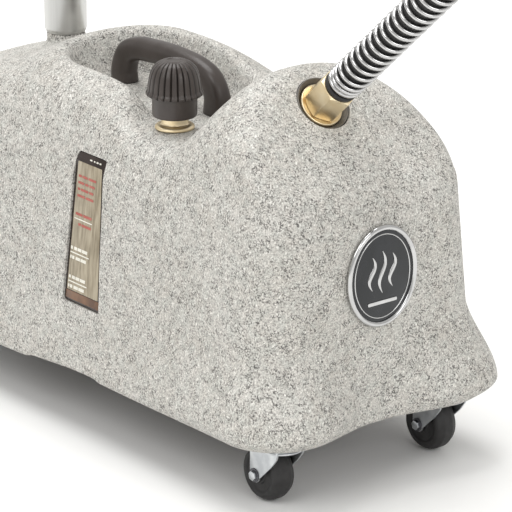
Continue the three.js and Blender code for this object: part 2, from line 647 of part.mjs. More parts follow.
// ---------------------------------------------------------------- badge, switch, lamp and cord inlet
const BADGE = { z: 154.5, halfX: 31, halfZ: 36.5, thick: 3 };
const badgeTurn = { at: [0, -HALF_LENGTH - GAP, BADGE.z], turn: [Math.PI / 2, 0, 0] };
add('badge_plate', slab(ellipse(BADGE.halfX, BADGE.halfZ, 28), 0, BADGE.thick), enamel, badgeTurn);

const inRear = { group: rear };
function switchBezel() {
  const rim = box(28, 21, 2.4, [0, 0, 1.2 + 2 * GAP]);
  const tub = box(SWITCH_OPENING[0] - 0.6, SWITCH_OPENING[1] - 0.6, 14, [0, 0, -4]);
  return cut(join(rim, tub), box(19, 12, 12, [0, 0, 0]));
}
add('switch_bezel', switchBezel(), blackPlastic, inRear);
const rocker = new THREE.Shape();
rocker.moveTo(-5.4, 1.6);
rocker.lineTo(-4.6, -3);
rocker.lineTo(4.6, -3);
rocker.lineTo(5.4, 4.6);
rocker.lineTo(0, 2.6);
const rockerSolid = slab(rocker, -9, 9).rotateX(Math.PI / 2).rotateZ(Math.PI / 2);
add('switch_rocker', rockerSolid, blackPlastic, inRear);
const lampProfile = [[0, -8], [5, -8], [5, 2 * GAP], [7, 2 * GAP], [6.5, 2.6], [3.5, 4.6], [0, 5]];
add('indicator_lamp', turned(lampProfile), red, { group: rear, at: [0, LAMP_DROP, 0] });
const glandProfile = [
  [4, -12], [7, -12], [7, 2 * GAP], [11, 2 * GAP], [11, 5], [8, 7], [6.5, 16], [4, 16], [4, -12],
];
add('cord_gland', turned(glandProfile), blackPlastic, { group: rear, at: [0, GLAND_DROP, 0] });

// ---------------------------------------------------------------- casters
const FORK = { inner: 10.8, thick: 1.8, crownZ: 42.4, crownTop: 46.8, crownRadius: 15 };
const AXLE_RADIUS = 3;
const legOuter = FORK.inner + FORK.thick;

function casterFork() {
  const leg = new THREE.Shape();
  leg.moveTo(CASTER_TRAIL + 5.2, WHEEL_RADIUS - 1);
  leg.lineTo(12, FORK.crownZ + 1.5);
  leg.lineTo(-11, FORK.crownZ + 1.5);
  leg.lineTo(-9, 36);
  leg.lineTo(CASTER_TRAIL - 5.2, WHEEL_RADIUS - 1);
  leg.absarc(CASTER_TRAIL, WHEEL_RADIUS, 5.3, 1.1 * Math.PI, 1.9 * Math.PI, false);
  const legs = [-legOuter, FORK.inner].map((x) =>
    slab(leg, 0, FORK.thick, 4).rotateX(Math.PI / 2).rotateZ(Math.PI / 2).translate(x, 0, 0),
  );
  const crown = rod(FORK.crownRadius, FORK.crownZ, FORK.crownTop, 14);
  const axleHole = rod(AXLE_RADIUS + 0.4, -20, 20, 8).rotateY(Math.PI / 2);
  axleHole.translate(0, CASTER_TRAIL, WHEEL_RADIUS);
  return cut(join(crown, ...legs), rod(4.6, 30, 60, 12), axleHole);
}

const kingpinProfile = [
  [0, 39.6], [6, 39.6], [6.4, 41.6], [4.2, 42],
  [4.2, PLATE_Z], [20, PLATE_Z], [20, PAN_Z - GAP], [0, PAN_Z - GAP],
];
const half = WHEEL_WIDTH / 2;
const wheelProfile = [
  [AXLE_RADIUS + GAP, -half], [8, -half], [9, -half + 1.5], [13.5, -half + 1.5], [14.5, -half + 0.3],
  [18.6, -half + 1.5], [WHEEL_RADIUS, -half + 5], [WHEEL_RADIUS, half - 5], [18.6, half - 1.5],
  [14.5, half - 0.3], [13.5, half - 1.5], [9, half - 1.5], [8, half], [AXLE_RADIUS + GAP, half],
  [AXLE_RADIUS + GAP, -half],
];
const axleProfile = [
  [0, -legOuter - 2.4], [4.6, -legOuter - 2.4], [4.6, -legOuter - GAP], [AXLE_RADIUS, -legOuter - GAP],
  [AXLE_RADIUS, legOuter + GAP], [4.6, legOuter + GAP], [4.6, legOuter + 2.4], [0, legOuter + 2.4],
];
for (const [corner, x, y] of CASTERS) {
  const wheelPlace = { at: [x, y + CASTER_TRAIL, WHEEL_RADIUS], turn: [0, Math.PI / 2, 0] };
  add(`${corner}_plate`, turned(kingpinProfile, 12), steel, { at: [x, y, 0] });
  add(`${corner}_fork`, casterFork(), steel, { at: [x, y, 0] });
  add(`${corner}_wheel`, turned(wheelProfile, 16), rubber, wheelPlace);
  add(`${corner}_axle`, turned(axleProfile, 10), steel, wheelPlace);
}

export default model;
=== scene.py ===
"""Rolling commercial garment steamer: the visual model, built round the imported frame.

Sizes and places below are millimetres in the row frame, +Z up, front towards -Y; MM turns them
into Blender's metres.
"""
import json
import math

import bmesh
import bpy
import numpy as np
from mathutils import Matrix, Vector


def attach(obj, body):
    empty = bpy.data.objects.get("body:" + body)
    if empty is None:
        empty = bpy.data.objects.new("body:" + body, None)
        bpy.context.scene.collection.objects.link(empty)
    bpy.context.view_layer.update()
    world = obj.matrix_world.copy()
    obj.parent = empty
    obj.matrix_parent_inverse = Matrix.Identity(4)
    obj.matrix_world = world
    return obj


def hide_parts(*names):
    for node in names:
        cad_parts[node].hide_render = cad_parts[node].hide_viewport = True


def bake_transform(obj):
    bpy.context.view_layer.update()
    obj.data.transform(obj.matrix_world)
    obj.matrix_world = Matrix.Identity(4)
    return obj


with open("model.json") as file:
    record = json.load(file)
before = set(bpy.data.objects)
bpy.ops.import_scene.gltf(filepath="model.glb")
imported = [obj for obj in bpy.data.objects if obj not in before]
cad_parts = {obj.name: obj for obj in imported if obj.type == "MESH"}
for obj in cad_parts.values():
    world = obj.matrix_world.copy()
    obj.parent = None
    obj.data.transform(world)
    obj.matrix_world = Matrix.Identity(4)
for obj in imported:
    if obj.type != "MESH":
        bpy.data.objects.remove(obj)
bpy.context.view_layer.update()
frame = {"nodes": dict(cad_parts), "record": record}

MM = 0.001
GAP = 0.3
FLOOR_GAP = 0.5

# ---------------- driving dimensions
# Camera
CAMERA_PLACE = Vector((-1491.9, -1958.9, 969.35))
CAMERA_TARGET = Vector((233.29, 203.76, 0))
CAMERA_LENS = 250.3
CAMERA_SENSOR = 36

# Housing
WALL = 3.5
HALF_WIDTH = 109.5
SIDE_LEAN = 0.11
HALF_LENGTH = 224.5
REAR_LEAN = 0.05
CORNER_RADIUS = 42
EDGE_Z = 46.2
ARCH_RISE = 1.7
REAR_DROP = {"height": 6.4, "y0": -36, "y1": 80}
ARCH_HALF = 41
TOE_X = 7.8
TOE_Y = 20
TOE_CURL = 12
TOE_TOP_Z = 114
TOE_FULL_Z = 58
SHOULDER_Z = 205
ROOF_MARGIN = 1
ROOF_POWER = 2
FRONT = {"y0": -70, "y1": -140, "power": 2.1, "shoulder": 6}
RIDGE_Z = 270.7
LOBE = {"y0": -102, "y1": -139, "rise": 16}
SADDLE = {"y": -60, "width": 46, "dip": 20}
HUMP = {"y0": 55, "y1": 144, "drop": 19.2}
REAR_SLOPE = {"slope": 0.3, "from": 110, "rounding": 40}
BLEND = {"roof": 16, "rear_roof": 20, "facet": 13, "dish": 8.7, "scoop": 14}
FACET_TILT = math.radians(43.5)
DISH = {"x": -8, "y0": -40, "y1": 48, "floor": 226, "flat": 24, "run": 22, "rise": 30}
SCOOP = {"x": -115, "y": -78, "flat": 22.5, "run": 20, "rise": 26}
FILLER = Vector((-51, -61.5, 230))
LIMIT_LOW = (-124, -252, 30)
LIMIT_HIGH = (124, 250, 296)
SKIN_CELL = 2.5
INSIDE_CELL = 7.0
INSIDE_FOOT_Z = 34

# Hose outlet, hose and head
OUTLET = Vector((0, -162.5, 262))
OUTLET_TILT = math.radians(48.5)
OUTLET_HOLE = 20.5
NUT_END = 24.2
NUT_ACROSS = 24.5
GUARD_FOOT = 28.2
HOSE_RADIUS = 10
HOSE_START = 30
GUARD_LENGTH = 170
GUARD_RADIUS = 13
HEAD_Y = 84.5
HOSE_END_Z = 1424

# Pole, its fittings and the hook
POLE = {"y": 139.5, "radius": 15.9, "wall": 1.5, "foot": 248, "joint": 1010, "top": 1715}
BOSS_RADIUS = 14.2
SPIGOT_RADIUS = 11
HOOK = {"z": 1736, "half": 140, "radius": 4, "rise": 30}
CRADLE = {"z": 1630, "top": 1634, "half": 22, "slot": 11.5, "front": 66, "ring_half": 13}

# Window, rear panel and badge
WINDOW = {"y": -18, "z": 151, "height": 110, "top_half": 16.5, "bottom_half": 21.5, "top_shift": -2.5}
LENS_FRONT = -1.5
LENS_LEAN = {"from": 49, "slope": 0.4}
REAR_PANEL_Z = 125
LAMP_DROP = -26
GLAND_DROP = 46
SWITCH_OPENING = (-11.3, -7.8, 11.3, 7.8)
LAMP_HOLE = 5.3
GLAND_HOLE = 7.3
PANEL_FLAT = (-16, -45, 16, 59)
BADGE = {"z": 154.5, "half_x": 31, "half_z": 36.5, "thick": 3}

# Casters
WHEEL_RADIUS = 20
WHEEL_WIDTH = 19
CASTER_X = 74
CASTER_TRAIL = 14
CASTERS = {
    "front_left": (-CASTER_X, -209.5),
    "front_right": (CASTER_X, -209.5),
    "rear_left": (-CASTER_X, 190),
    "rear_right": (CASTER_X, 190),
}
PLATE_Z = 47.2
PLATE_TOP = 49.7
AXLE_RADIUS = 3
FORK = {"inner": 10.8, "thick": 1.8, "tip_radius": 5.3}


# ---------------- camera
def add_camera():
    data = bpy.data.cameras.new("camera")
    data.sensor_width = CAMERA_SENSOR
    data.lens = CAMERA_LENS
    camera = bpy.data.objects.new("camera", data)
    bpy.context.collection.objects.link(camera)
    camera.location = CAMERA_PLACE * MM
    camera.rotation_mode = "QUATERNION"
    camera.rotation_quaternion = (CAMERA_TARGET - CAMERA_PLACE).to_track_quat("-Z", "Y")
    bpy.context.scene.camera = camera


add_camera()


# ---------------- materials
class Look:
    """One material's node tree, with short calls for the nodes that the looks share."""

    def __init__(self, name, color, roughness, **constants):
        self.name = name
        self.material = bpy.data.materials.new(name)
        self.material.use_nodes = True
        self.tree = self.material.node_tree
        self.shader = self.tree.nodes["Principled BSDF"]
        self.place = self.tree.nodes.new("ShaderNodeTexCoord").outputs["Object"]
        self.shader.inputs["Base Color"].default_value = (*color, 1)
        self.shader.inputs["Roughness"].default_value = roughness
        for socket, value in constants.items():
            self.shader.inputs[socket].default_value = value

    def node(self, kind, inputs, **settings):
        made = self.tree.nodes.new(kind)
        for name, value in settings.items():
            setattr(made, name, value)
        for socket, value in inputs.items():
            if isinstance(value, bpy.types.NodeSocket):
                self.tree.links.new(value, made.inputs[socket])
            else:
                made.inputs[socket].default_value = value
        return made

    def noise(self, size, detail=2.0, stretch=(1, 1, 1), turn=(0, 0, 0), roughness=0.5):
        """Noise with features of about that size in millimetres, longer along a stretched axis."""
        scale = [1 / (size * MM * s) for s in stretch]
        turned = self.node("ShaderNodeMapping", {"Vector": self.place, "Rotation": turn})
        scaled = self.node("ShaderNodeMapping", {"Vector": turned.outputs[0], "Scale": scale})
        sockets = {"Vector": scaled.outputs[0], "Scale": 1.0, "Detail": detail, "Roughness": roughness}
        return self.node("ShaderNodeTexNoise", sockets).outputs[0]

    def ramp(self, source, *stops):
        """A colour ramp; a stop is a position and a grey or a colour."""
        made = self.node("ShaderNodeValToRGB", {"Fac": source})
        elements = made.color_ramp.elements
        while len(elements) < len(stops):
            elements.new(0.5)
        for element, (position, value) in zip(elements, stops):
            color = value if isinstance(value, tuple) else (value, value, value)
            element.position = position
            element.color = (*color, 1)
        return made.outputs["Color"]

    def mix(self, factor, a, b, blend="MIX"):
        made = self.node("ShaderNodeMix", {}, data_type="RGBA", blend_type=blend)
        for index, value in ((0, factor), (6, a), (7, b)):
            if isinstance(value, bpy.types.NodeSocket):
                self.tree.links.new(value, made.inputs[index])
            elif index:
                made.inputs[index].default_value = (*value, 1)
            else:
                made.inputs[index].default_value = value
        return made.outputs[2]

    def color(self, source):
        self.tree.links.new(source, self.shader.inputs["Base Color"])

    def rough(self, source, low, high):
        sockets = {"Value": source, "To Min": low, "To Max": high}
        spread = self.node("ShaderNodeMapRange", sockets)
        self.tree.links.new(spread.outputs[0], self.shader.inputs["Roughness"])

    def bump(self, source, depth):
        """Relief of the given depth in millimetres."""
        made = self.node("ShaderNodeBump", {"Height": source, "Distance": depth * MM, "Strength": 1.0})
        self.tree.links.new(made.outputs[0], self.shader.inputs["Normal"])

    def worn(self, color, lighter, size=14, stretch=(1, 1, 1)):
        """Even colour with soft, uneven patches or streaks of a lighter one."""
        patches = self.noise(size, 4, stretch=stretch)
        self.color(self.mix(self.ramp(patches, (0.35, 0.0), (0.7, 1.0)), color, lighter))

    def shade_grooves(self, color, reach):
        """Painted shade: grooves and inner corners take a darker colour within the reach in millimetres,
        from an ambient occlusion node.
        """
        clear = self.node("ShaderNodeAmbientOcclusion", {"Distance": reach * MM}, samples=8)
        source = self.shader.inputs["Base Color"].links[0].from_socket
        self.color(self.mix(self.ramp(clear.outputs["AO"], (0.45, 0.0), (0.85, 1.0)), color, source))


def speckled_resin():
    """Warm grey resin full of short dark and white fibres that lie every way."""
    look = Look("speckled_resin", (0.5, 0.49, 0.45), 0.55)
    cloud = look.ramp(look.noise(30, 3), (0.32, 0.0), (0.68, 1.0))
    ground = look.mix(cloud, (0.53, 0.505, 0.46), (0.615, 0.595, 0.555))
    tint = look.ramp(look.noise(7, 2), (0.4, 0.0), (0.65, 0.5))
    ground = look.mix(tint, ground, (0.49, 0.51, 0.475))
    grain = look.noise(1.2, 3, roughness=0.75)
    ground = look.mix(look.ramp(grain, (0.36, 0.85), (0.5, 0.0)), ground, (0.27, 0.255, 0.235))
    ground = look.mix(look.ramp(grain, (0.53, 0.0), (0.70, 0.7)), ground, (0.84, 0.82, 0.775))
    cluster = look.ramp(look.noise(6, 2), (0.38, 0.25), (0.62, 1.0))
    dark_fibres = [((0.5, 0.3, 0.2), 1.0), ((1.4, 0.9, 2.1), 0.9)]
    dark_fibres += [((2.3, 2.0, 1.2), 1.1), ((0.1, 2.7, 0.9), 0.95)]
    for turn_by, size in dark_fibres:
        fibre = look.noise(size, 1, stretch=(1, 1, 2.8), turn=turn_by)
        fibre = look.ramp(fibre, (0.585, 0.0), (0.67, 0.95))
        ground = look.mix(look.mix(1.0, fibre, cluster, "MULTIPLY"), ground, (0.085, 0.08, 0.075))
    for turn_by, size in (((2.8, 0.4, 1.6), 0.95), ((0.9, 2.6, 0.4), 1.05)):
        fibre = look.noise(size, 1, stretch=(1, 1, 3.0), turn=turn_by)
        ground = look.mix(look.ramp(fibre, (0.62, 0.0), (0.73, 0.6)), ground, (0.94, 0.925, 0.88))
    look.color(ground)
    look.rough(look.noise(5, 3), 0.5, 0.7)
    look.bump(look.noise(1.8, 3), 0.10)
    return look


def moulded_plastic(name, color, lighter, low, high, grooves=None):
    look = Look(name, color, high)
    look.worn(color, lighter)
    # Painted shade in grooves and inner corners, when a colour and reach are given
    if grooves:
        look.shade_grooves(*grooves)
    look.rough(look.noise(3, 4), low, high)
    look.bump(look.noise(0.5, 2), 0.02)
    return look


def metal(name, color, lighter, low, high, stretch=(1, 1, 1), grain=0.8, depth=0.008):
    look = Look(name, color, high, Metallic=1.0)
    look.worn(color, lighter, 9, stretch)
    look.rough(look.noise(grain, 3, stretch=stretch), low, high)
    look.bump(look.noise(grain, 2, stretch=stretch), depth)
    return look


def black_rubber(name, color, lighter, depth):
    look = Look(name, color, 0.6)
    look.worn(color, lighter, 10)
    look.rough(look.noise(2, 3), 0.5, 0.72)
    look.bump(look.noise(0.7, 2), depth)
    return look


def glossy_plastic(name, color):
    """Glossy tinted plastic, shown opaque, with slow waves in its face."""
    look = Look(name, color, 0.12, IOR=1.49)
    look.worn(color, tuple(min(1, c * 1.5 + 0.02) for c in color), 18)
    look.rough(look.noise(6, 3), 0.08, 0.2)
    look.bump(look.noise(8, 2), 0.05)
    return look


def card_look():
    """Tan card seen through a translucent face, with soft upright streaks."""
    look = Look("scale_card", (0.33, 0.28, 0.20), 0.22)
    streaks = look.ramp(look.noise(2.6, 3, stretch=(1, 1, 12)), (0.35, 0.0), (0.65, 1.0))
    look.color(look.mix(streaks, (0.225, 0.185, 0.12), (0.40, 0.345, 0.25)))
    look.rough(look.noise(4, 2), 0.16, 0.3)
    look.bump(look.noise(5, 2), 0.02)
    return look


def oiled_wood():
    look = Look("oiled_wood", (0.3, 0.16, 0.07), 0.45)
    rings = look.noise(2.4, 3, stretch=(1, 1, 14))
    fine = look.noise(0.5, 2, stretch=(1, 1, 20))
    dark = look.mix(look.ramp(fine, (0.4, 0.0), (0.65, 1.0)), (0.17, 0.08, 0.03), (0.26, 0.13, 0.055))
    look.color(look.mix(look.ramp(rings, (0.35, 0.0), (0.62, 1.0)), dark, (0.42, 0.23, 0.10)))
    look.rough(fine, 0.38, 0.55)
    look.bump(fine, 0.03)
    return look


def by_name(*looks):
    return {look.name: look for look in looks}


# Painted shade in the dark plastic's grooves and inner corners: its colour and its reach in millimetres
GROOVE_SHADE = ((0.006, 0.005, 0.004), 2.5)

# The record's material slots, and a few finishes of small pieces that have no slot of their own
LOOKS = {"housing_speckle": speckled_resin(), "grip_wood": oiled_wood()}
LOOKS |= by_name(
    card_look(),
    moulded_plastic("dark_plastic", (0.040, 0.031, 0.027), (0.056, 0.045, 0.040), 0.30, 0.42, GROOVE_SHADE),
    moulded_plastic("rocker_plastic", (0.010, 0.010, 0.010), (0.02, 0.02, 0.02), 0.2, 0.3),
    moulded_plastic("tank_plastic", (0.62, 0.60, 0.55), (0.7, 0.68, 0.62), 0.4, 0.5),
    moulded_plastic("badge_enamel", (0.010, 0.012, 0.014), (0.02, 0.022, 0.026), 0.08, 0.16),
    glossy_plastic("window_plastic", (0.016, 0.008, 0.005)),
    glossy_plastic("lamp_red", (0.45, 0.02, 0.015)),
    black_rubber("black_rubber", (0.014, 0.014, 0.014), (0.030, 0.029, 0.028), 0.04),
    black_rubber("wheel_rubber", (0.014, 0.013, 0.013), (0.030, 0.029, 0.029), 0.03),
    metal("brass", (0.84, 0.69, 0.44), (0.92, 0.80, 0.58), 0.32, 0.46),
    metal("spring_chrome", (0.54, 0.54, 0.54), (0.62, 0.62, 0.62), 0.08, 0.18),
    metal("plain_steel", (0.42, 0.42, 0.43), (0.5, 0.5, 0.5), 0.28, 0.42),
    metal("zinc", (0.50, 0.52, 0.54), (0.70, 0.72, 0.73), 0.26, 0.40),
    metal("pole_aluminium", (0.50, 0.50, 0.49), (0.74, 0.74, 0.72), 0.28, 0.36, (1, 1, 90), 0.4, 0.01),
    moulded_plastic("grommet_grey", (0.11, 0.10, 0.09), (0.16, 0.15, 0.13), 0.45, 0.6),
    moulded_plastic("mark_red", (0.36, 0.07, 0.05), (0.46, 0.13, 0.10), 0.3, 0.45),
    moulded_plastic("mark_white", (0.72, 0.70, 0.62), (0.8, 0.78, 0.7), 0.3, 0.45),
    moulded_plastic("amber", (0.10, 0.048, 0.024), (0.26, 0.125, 0.055), 0.15, 0.3),
    # painted highlight: a light streak down the window's lens
    moulded_plastic("painted_highlight", (0.62, 0.60, 0.55), (0.7, 0.68, 0.62), 0.2, 0.3),
    metal("dark_zinc", (0.10, 0.10, 0.11), (0.18, 0.18, 0.19), 0.35, 0.5),
)

for row in frame["record"]["subparts"]:
    node = frame["nodes"][row["node"]]
    node.data.materials.clear()
    node.data.materials.append(LOOKS[row["material_slot"]].material)


# ---------------- shapes: (points, faces) in millimetres
def rounded(profile, radius, steps=3):
    """A polyline with its corners rounded; one that closes on itself is rounded all the way."""
    points = [Vector(p) for p in profile]
    closed = (points[0] - points[-1]).length < 1e-6
    if closed:
        points.pop()
    count = len(points)
    result = []
    for i, corner in enumerate(points):
        if not closed and i in (0, count - 1):
            result.append(corner)
            continue
        before, after = points[i - 1], points[(i + 1) % count]
        reach = min(radius, (before - corner).length / 2.05, (after - corner).length / 2.05)
        start = corner + (before - corner).normalized() * reach
        end = corner + (after - corner).normalized() * reach
        for step in range(steps + 1):
            t = step / steps
            result.append(start.lerp(corner, t).lerp(corner.lerp(end, t), t))
    if closed:
        result.append(result[0].copy())
    return [tuple(p) for p in result]


def lathe(profile, segments=64, flute=None):
    """A solid of revolution about Z from (radius, z) pairs; flute(angle, r, z) may change the radius."""
    closed = profile[0] == profile[-1]
    rows = profile[:-1] if closed else profile
    points, rings = [], []
    for r, z in rows:
        if r < 1e-6:
            rings.append([len(points)] * segments)
            points.append((0, 0, z))
            continue
        rings.append(list(range(len(points), len(points) + segments)))
        for k in range(segments):
            angle = math.tau * k / segments
            radius = flute(angle, r, z) if flute else r
            points.append((radius * math.cos(angle), radius * math.sin(angle), z))
    if closed:
        rings.append(rings[0])
    faces = []
    for low, high in zip(rings, rings[1:]):
        for k in range(segments):
            n = (k + 1) % segments
            corners = list(dict.fromkeys((low[k], low[n], high[n], high[k])))
            if len(corners) > 2:
                faces.append(corners)
    return points, faces


def oblong(x0, y0, x1, y1):
    return [(x0, y0), (x1, y0), (x1, y1), (x0, y1)]


def loop(outline, radius, steps=3):
    """A closed outline with its corners rounded."""
    return rounded([*outline, outline[0]], radius, steps)[:-1]


def ring(profile, radius, segments=64, steps=3):
    """A solid of revolution over a profile that closes on itself, with its corners rounded."""
    return lathe(rounded([*profile, profile[0]], radius, steps), segments)


def rod(radius, z0, z1, fillet=0.6, segments=64):
    return lathe(rounded([(0, z0), (radius, z0), (radius, z1), (0, z1)], fillet), segments)


def tube(inner, outer, z0, z1, fillet=0.5, segments=64):
    return ring(oblong(inner, z0, outer, z1), fillet, segments)


def slab(outline, z0, z1):
    """A prism along Z over a counterclockwise outline."""
    count = len(outline)
    points = [(x, y, z) for z in (z0, z1) for x, y in outline]
    faces = [list(range(count))[::-1], list(range(count, 2 * count))]
    faces += [[i, (i + 1) % count, count + (i + 1) % count, count + i] for i in range(count)]
    return points, faces


def sweep(path, sides, section):
    """A solid along a path; sides holds each point's sideways direction, section(i) its outline."""
    points, rings = [], []
    count = len(path)
    for i, centre in enumerate(path):
        ahead = (path[min(i + 1, count - 1)] - path[max(i - 1, 0)]).normalized()
        side = (sides[i] - ahead * sides[i].dot(ahead)).normalized()
        up = ahead.cross(side)
        outline = section(i)
        rings.append(range(len(points), len(points) + len(outline)))
        points += [tuple(centre + side * u + up * v) for u, v in outline]
    faces = [list(rings[0])[::-1], list(rings[-1])]
    size = len(rings[0])
    for low, high in zip(rings, rings[1:]):
        faces += [[low[k], low[(k + 1) % size], high[(k + 1) % size], high[k]] for k in range(size)]
    return points, faces


def oval(half_x, half_y, count=24, power=2.0):
    """A superellipse; a power of 2 is an ellipse and higher ones are squarer."""
    result = []
    for k in range(count):
        c, s = math.cos(math.tau * k / count), math.sin(math.tau * k / count)
        x = half_x * math.copysign(abs(c) ** (2 / power), c)
        y = half_y * math.copysign(abs(s) ** (2 / power), s)
        result.append((x, y))
    return result


def polygon(radius, sides, start=0.0):
    angles = [start + math.tau * k / sides for k in range(sides)]
    return [(radius * math.cos(a), radius * math.sin(a)) for a in angles]


def rectangle(half_x, half_y, radius):
    return loop(oblong(-half_x, -half_y, half_x, half_y), radius, 4)


def curve(points, per_span=12):
    """A smooth path through the points."""
    p = [Vector(q) for q in points]
    p = [2 * p[0] - p[1], *p, 2 * p[-1] - p[-2]]
    path = []
    for a, b, c, d in zip(p, p[1:], p[2:], p[3:]):
        for step in range(per_span):
            t = step / per_span
            leave, arrive = (c - a) / 2, (d - b) / 2
            cubic = 2 * (b - c) + leave + arrive
            square = 3 * (c - b) - 2 * leave - arrive
            path.append(b + leave * t + square * t**2 + cubic * t**3)
    path.append(p[-2])
    return path


def merged(*shapes):
    """Several shapes as one piece's mesh."""
    points, faces = [], []
    for more, these in shapes:
        faces += [[i + len(points) for i in face] for face in these]
        points += more
    return points, faces


def moved(shape, matrix):
    return [tuple(matrix @ Vector(p)) for p in shape[0]], shape[1]


def at(x=0, y=0, z=0):
    return Matrix.Translation((x, y, z))


def turn(angle, axis):
    return Matrix.Rotation(angle, 4, axis)


# ---------------- pieces
def make_object(name, shape, place=Matrix()):
    points, faces = shape
    mesh = bpy.data.meshes.new(name)
    mesh.from_pydata([tuple(place @ Vector(p) * MM) for p in points], [], faces)
    mesh.update()
    obj = bpy.data.objects.new(name, mesh)
    bpy.context.collection.objects.link(obj)
    return obj


def tidy_normals(obj, crease):
    """Faces out, smooth shading, and sharp edges above the crease angle."""
    work = bmesh.new()
    work.from_mesh(obj.data)
    bmesh.ops.recalc_face_normals(work, faces=work.faces)
    work.to_mesh(obj.data)
    work.free()
    obj.data.shade_smooth()
    obj.data.set_sharp_from_angle(angle=math.radians(crease))


def bevelled(obj, width, segments=3, angle=32):
    """Rounds the edges of a piece that is made of flat faces, and applies that to its mesh."""
    bevel = obj.modifiers.new("edges", "BEVEL")
    bevel.width = width * MM
    bevel.segments = segments
    bevel.limit_method = "ANGLE"
    bevel.angle_limit = math.radians(angle)
    apply_modifiers(obj)


def apply_modifiers(obj):
    graph = bpy.context.evaluated_depsgraph_get()
    old = obj.data
    obj.data = bpy.data.meshes.new_from_object(obj.evaluated_get(graph))
    obj.modifiers.clear()
    bpy.data.meshes.remove(old)


def block(name, shape, width, segments=3):
    """An object with its edges rounded, to be cut or placed before it becomes a piece."""
    obj = make_object(name, shape)
    tidy_normals(obj, 30)
    bevelled(obj, width, segments)
    return obj


def place_mesh(obj, matrix):
    """Moves a mesh that was built round the origin to its place in millimetres."""
    metres = matrix.copy()
    metres.translation = matrix.translation * MM
    obj.data.transform(metres)


def cut(obj, *cutters):
    """Takes the cutters away from a piece, one after another."""
    for cutter in cutters:
        tidy_normals(cutter, 30)
        step = obj.modifiers.new("cut", "BOOLEAN")
        step.operation = "DIFFERENCE"
        step.solver = "EXACT"
        step.object = cutter
    apply_modifiers(obj)
    for cutter in cutters:
        bpy.data.objects.remove(cutter)


def piece(name, shape, body, slot, replaced=(), place=Matrix(), look=None, bevel=None, crease=40):
    """One visible piece: its mesh, its material, its body and the nodes that it stands for."""
    obj = shape if isinstance(shape, bpy.types.Object) else make_object(name, shape, place)
    obj.name = name
    tidy_normals(obj, crease)
    if bevel:
        bevelled(obj, bevel)
        tidy_normals(obj, crease)
    obj.data.materials.clear()
    obj.data.materials.append(LOOKS[look or slot].material)
    if body:
        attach(obj, body)
    if replaced:
        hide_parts(*replaced)
    return obj


# ---------------- placed frames
OUTLET_FRAME = at(*OUTLET) @ turn(OUTLET_TILT, "X")
LEAN = math.atan(SIDE_LEAN)
WALL_FACE = ((0, math.sin(LEAN), -math.cos(LEAN)), (-1, 0, 0), (0, math.cos(LEAN), math.sin(LEAN)))
WINDOW_X = SIDE_LEAN * (WINDOW["z"] - EDGE_Z) - HALF_WIDTH
SIGHT_FRAME = at(WINDOW_X, WINDOW["y"], WINDOW["z"]) @ Matrix(WALL_FACE).to_4x4()
REAR_FRAME = at(0, HALF_LENGTH - REAR_LEAN * (REAR_PANEL_Z - EDGE_Z), REAR_PANEL_Z) @ turn(
    math.atan(REAR_LEAN) - math.pi / 2, "X"
)
BADGE_FRAME = at(0, -HALF_LENGTH - GAP, BADGE["z"]) @ turn(math.pi / 2, "X")
FILLER_FRAME = at(*FILLER)
POLE_FRAME = at(0, POLE["y"], 0)
HEAD_FRAME = at(0, HEAD_Y, 0)
ACROSS = turn(math.pi / 2, "Z") @ turn(math.pi / 2, "X")  # stands an outline up in YZ


# ---------------- hose, its guard and the head
def on_axis(distance):
    return OUTLET + Vector((0, -math.sin(OUTLET_TILT), math.cos(OUTLET_TILT))) * distance


# From the guard's end the hose bows forwards and climbs to the head.
HOSE_ROUTE = [
    on_axis(HOSE_START),
    on_axis(HOSE_START + 45),
    on_axis(HOSE_START + 90),
    on_axis(HOSE_START + 135),
    on_axis(HOSE_START + GUARD_LENGTH + 5),
    (0, -367, 453),
    (0, -406, 516),
    (0, -432, 586),
    (0, -445, 660),
    (0, -442, 735),
    (0, -425, 807),
    (0, -394, 876),
    (0, -351, 937),
    (0, -297, 988),
    (0, -239, 1036),
    (0, -182, 1084),
    (0, -125, 1132),
    (0, -67, 1180),
    (0, -10, 1229),
    (0, 40, 1284),
    (0, 72, 1347),
    (0, HEAD_Y - 0.7, 1399),
    (0, HEAD_Y, HOSE_END_Z - GAP),
]


def add_hose():
    path = curve(HOSE_ROUTE)
    sides = [Vector((1, 0, 0))] * len(path)
    shape = sweep(path, sides, lambda i: oval(HOSE_RADIUS, HOSE_RADIUS, 24))
    hose = piece("hose", shape, None, "black_rubber", ["steam_hose"])
    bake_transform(hose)
    return hose, [tuple(p * MM) for p in path]


def add_guard():
    """The coiled wire guard: close turns at both ends and an even, open pitch between them."""
    wire, close_pitch, open_pitch = 1.62, 3.4, 8.1
    radius = GUARD_RADIUS - wire
    steps_per_turn = 36
    path, sides = [], []
    height, angle, end = GUARD_FOOT + wire, 0.0, HOSE_START + GUARD_LENGTH - wire
    while height < end:
        outward = Vector((math.cos(angle), math.sin(angle), 0))
        path.append(OUTLET_FRAME @ (outward * radius + Vector((0, 0, height))))
        sides.append(OUTLET_FRAME.to_3x3() @ outward)
        turns = angle / math.tau
        opened = min(max((turns - 1.6) / 2.2, 0), 1)
        closing = min(max((height - end + 9) / 6, 0), 1)
        pitch = close_pitch + (open_pitch - close_pitch) * opened * (1 - closing)
        height += pitch / steps_per_turn
        angle += math.tau / steps_per_turn
    shape = sweep(path, sides, lambda i: oval(wire, wire, 10))
    return piece("hose_spring_guard", shape, "housing", "spring_chrome", ["hose_guard"])


